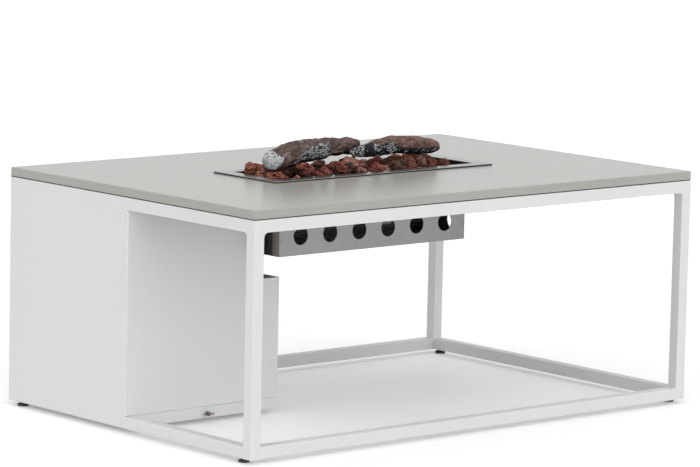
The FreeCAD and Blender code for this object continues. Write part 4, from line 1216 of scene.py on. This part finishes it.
# %% Levelling feet
feet = []
for node in ("foot_front_left", "foot_front_right", "foot_back_left", "foot_back_right"):
    low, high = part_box(node)
    spot = ((low.x + high.x) / 2, (low.y + high.y) / 2, 0)
    disc = turned(node + "_disc", spot, "z",
                  [(0, 10.6), (0.8, 11.8), (3.6, 12), (4.6, 11.6), (5, 10.8)])
    neck = turned(node + "_neck", spot, "z", [(4.9, 6.6), (5.3, 7), (7.2, 7), (7.6, 6.7)], 6)
    thread = thread_of(8, 1, 20, (0, 0.5, 0.6, 0.9), (3.4, 4, 4, 3.4))
    stud = turned(node + "_stud", spot, "z", [(7.5, 3.4)] + thread + [(29, 3)], 24)
    feet.append(stand_for(join([disc, neck, stud], node + "_turned"), node, black_plastic))
print("feet:", [foot.name for foot in feet])


# %% [markdown]
# ### Knob, igniter and gas inlet
#
# The knob has a round skirt with a grip bar across it. The bar starts as a cube stretched to the
# bar's size, its long edges are bevelled, and it is joined to the skirt with a pointer line.
# Nut and inlet are hexagons, so they use the same half outline with six sides.

# %% Control knob
def block(name, middle, size):
    """A cube stretched to a size."""
    piece = start(name, bpy.ops.mesh.primitive_cube_add, size=1, location=middle)
    bpy.ops.transform.resize(value=size)
    settle(piece)
    return piece


KNOB = Vector((0.12, 0.0, 0.385))
skirt = turned("knob_skirt", KNOB, "y", [(70, 17.5), (70.5, 18.7), (71.2, 19), (74.6, 18.6),
                                         (75.6, 17.8), (76, 16.6)], 64)
grip = block("knob_grip", KNOB + Vector((0, 0.0818, 0)), (0.0105, 0.0124, 0.035))
pick(grip, "edge", lambda edge: True)
bpy.ops.mesh.bevel(offset=0.0016, segments=4, affect="EDGES")
leave_edit()
pick(grip, "face", lambda face: face.normal.y > 0.99)
bpy.ops.mesh.inset(thickness=0.0007)
bpy.ops.transform.translate(value=(0, -0.0003, 0))
leave_edit()
smooth(grip, 35)
line = block("knob_line", KNOB + Vector((0, 0.0878, 0.01)), (0.0012, 0.0003, 0.009))


def along_axis(edge):
    first, second = edge_ends(line.data, edge)
    return abs(first.y - second.y) > CLOSE


pick(line, "edge", along_axis)
bpy.ops.mesh.bevel(offset=0.0005, segments=3, affect="EDGES")
leave_edit()
knob = stand_for(join([skirt, grip], "turned_knob"), "control_knob")
finish_piece(line, white_coat, "knob")
print("knob faces:", len(knob.data.polygons))


# %% Igniter and inlet
IGNITER, INLET = Vector((0.2, 0.0, 0.385)), Vector((0.04, 0.0, 0.385))
nut = turned("igniter_hex", IGNITER, "y", [(65, 12.4), (65.3, 13), (68.2, 13), (68.6, 12.3),
                                           (68.7, 9.6)], 6, 30)
stand_for(nut, "igniter_nut")
button = turned("round_button", IGNITER, "y", [(54, 6.9), (75.5, 6.9), (76.8, 6.6),
                                               (77.5, 6), (77.9, 4.5), (78, 2)])
stand_for(button, "igniter_button")
ridges = thread_of(73.8, 1.35, 9, (0, 0.55, 0.75, 1.3), (5.9, 6.58, 6.58, 5.9))
thread = turned("inlet_thread", INLET, "y", [(73, 6.2)] + ridges + [(86.6, 5.9), (87, 5.4)])
hexagon = turned("inlet_hexagon", INLET, "y", [(65, 9.8), (65.4, 10.39), (72.5, 10.39),
                                               (73, 9.8)], 6)
shoulder = turned("inlet_shoulder", INLET, "y", [(54, 6.2), (54.3, 6.58), (65.1, 6.58)], 32)
inlet = stand_for(join([thread, hexagon, shoulder], "turned_inlet"), "gas_inlet")
print("nut, button, inlet:", [len(piece.data.polygons) for piece in (nut, button, inlet)])


# %% [markdown]
# ### The rest of the sheet and hardware
#
# The folded panels, the door and the small fittings only need their sharp edges taken off.
# Sheet gets a bevel of a third of a millimetre, turned fittings a little more. The valve's body
# and the wing screw are cast, so they get the cloudy grey of cast zinc.

# %% Soften the remaining solids
SHEET = {"table_top": 0.0007, "compartment_shell": 0.0003, "compartment_door": 0.0003,
         "compartment_floor": 0.0003, "pan_ledges": 0.0002,
         "wing_screw": 0.0007, "wing_screw_washer": 0.0002, "magnetic_catch": 0.0008,
         "strike_plate": 0.0002, "gas_valve": 0.0009, "valve_spindle": 0.0003,
         "gas_injector": 0.0003, "igniter_body": 0.0003, "door_pivot_pins": 0.0003,
         "door_washer": 0.0003, "supply_pipe": 0.0, "burner_pipe": 0.0, "flame_sensor": 0.0002,
         "ignition_electrode": 0.0002, "foot_inserts": 0.0002, "top_pads": 0.0003}
ROUND = {"valve_spindle", "gas_injector", "igniter_body", "door_pivot_pins", "door_washer",
         "supply_pipe", "burner_pipe", "flame_sensor", "ignition_electrode", "foot_inserts"}
CAST = {"wing_screw": dark_zinc, "gas_valve": zinc}
softer = {node: len(soften(node, width, CAST.get(node), flat=node not in ROUND).data.polygons)
          for node, width in SHEET.items()}
print("softened:", softer)
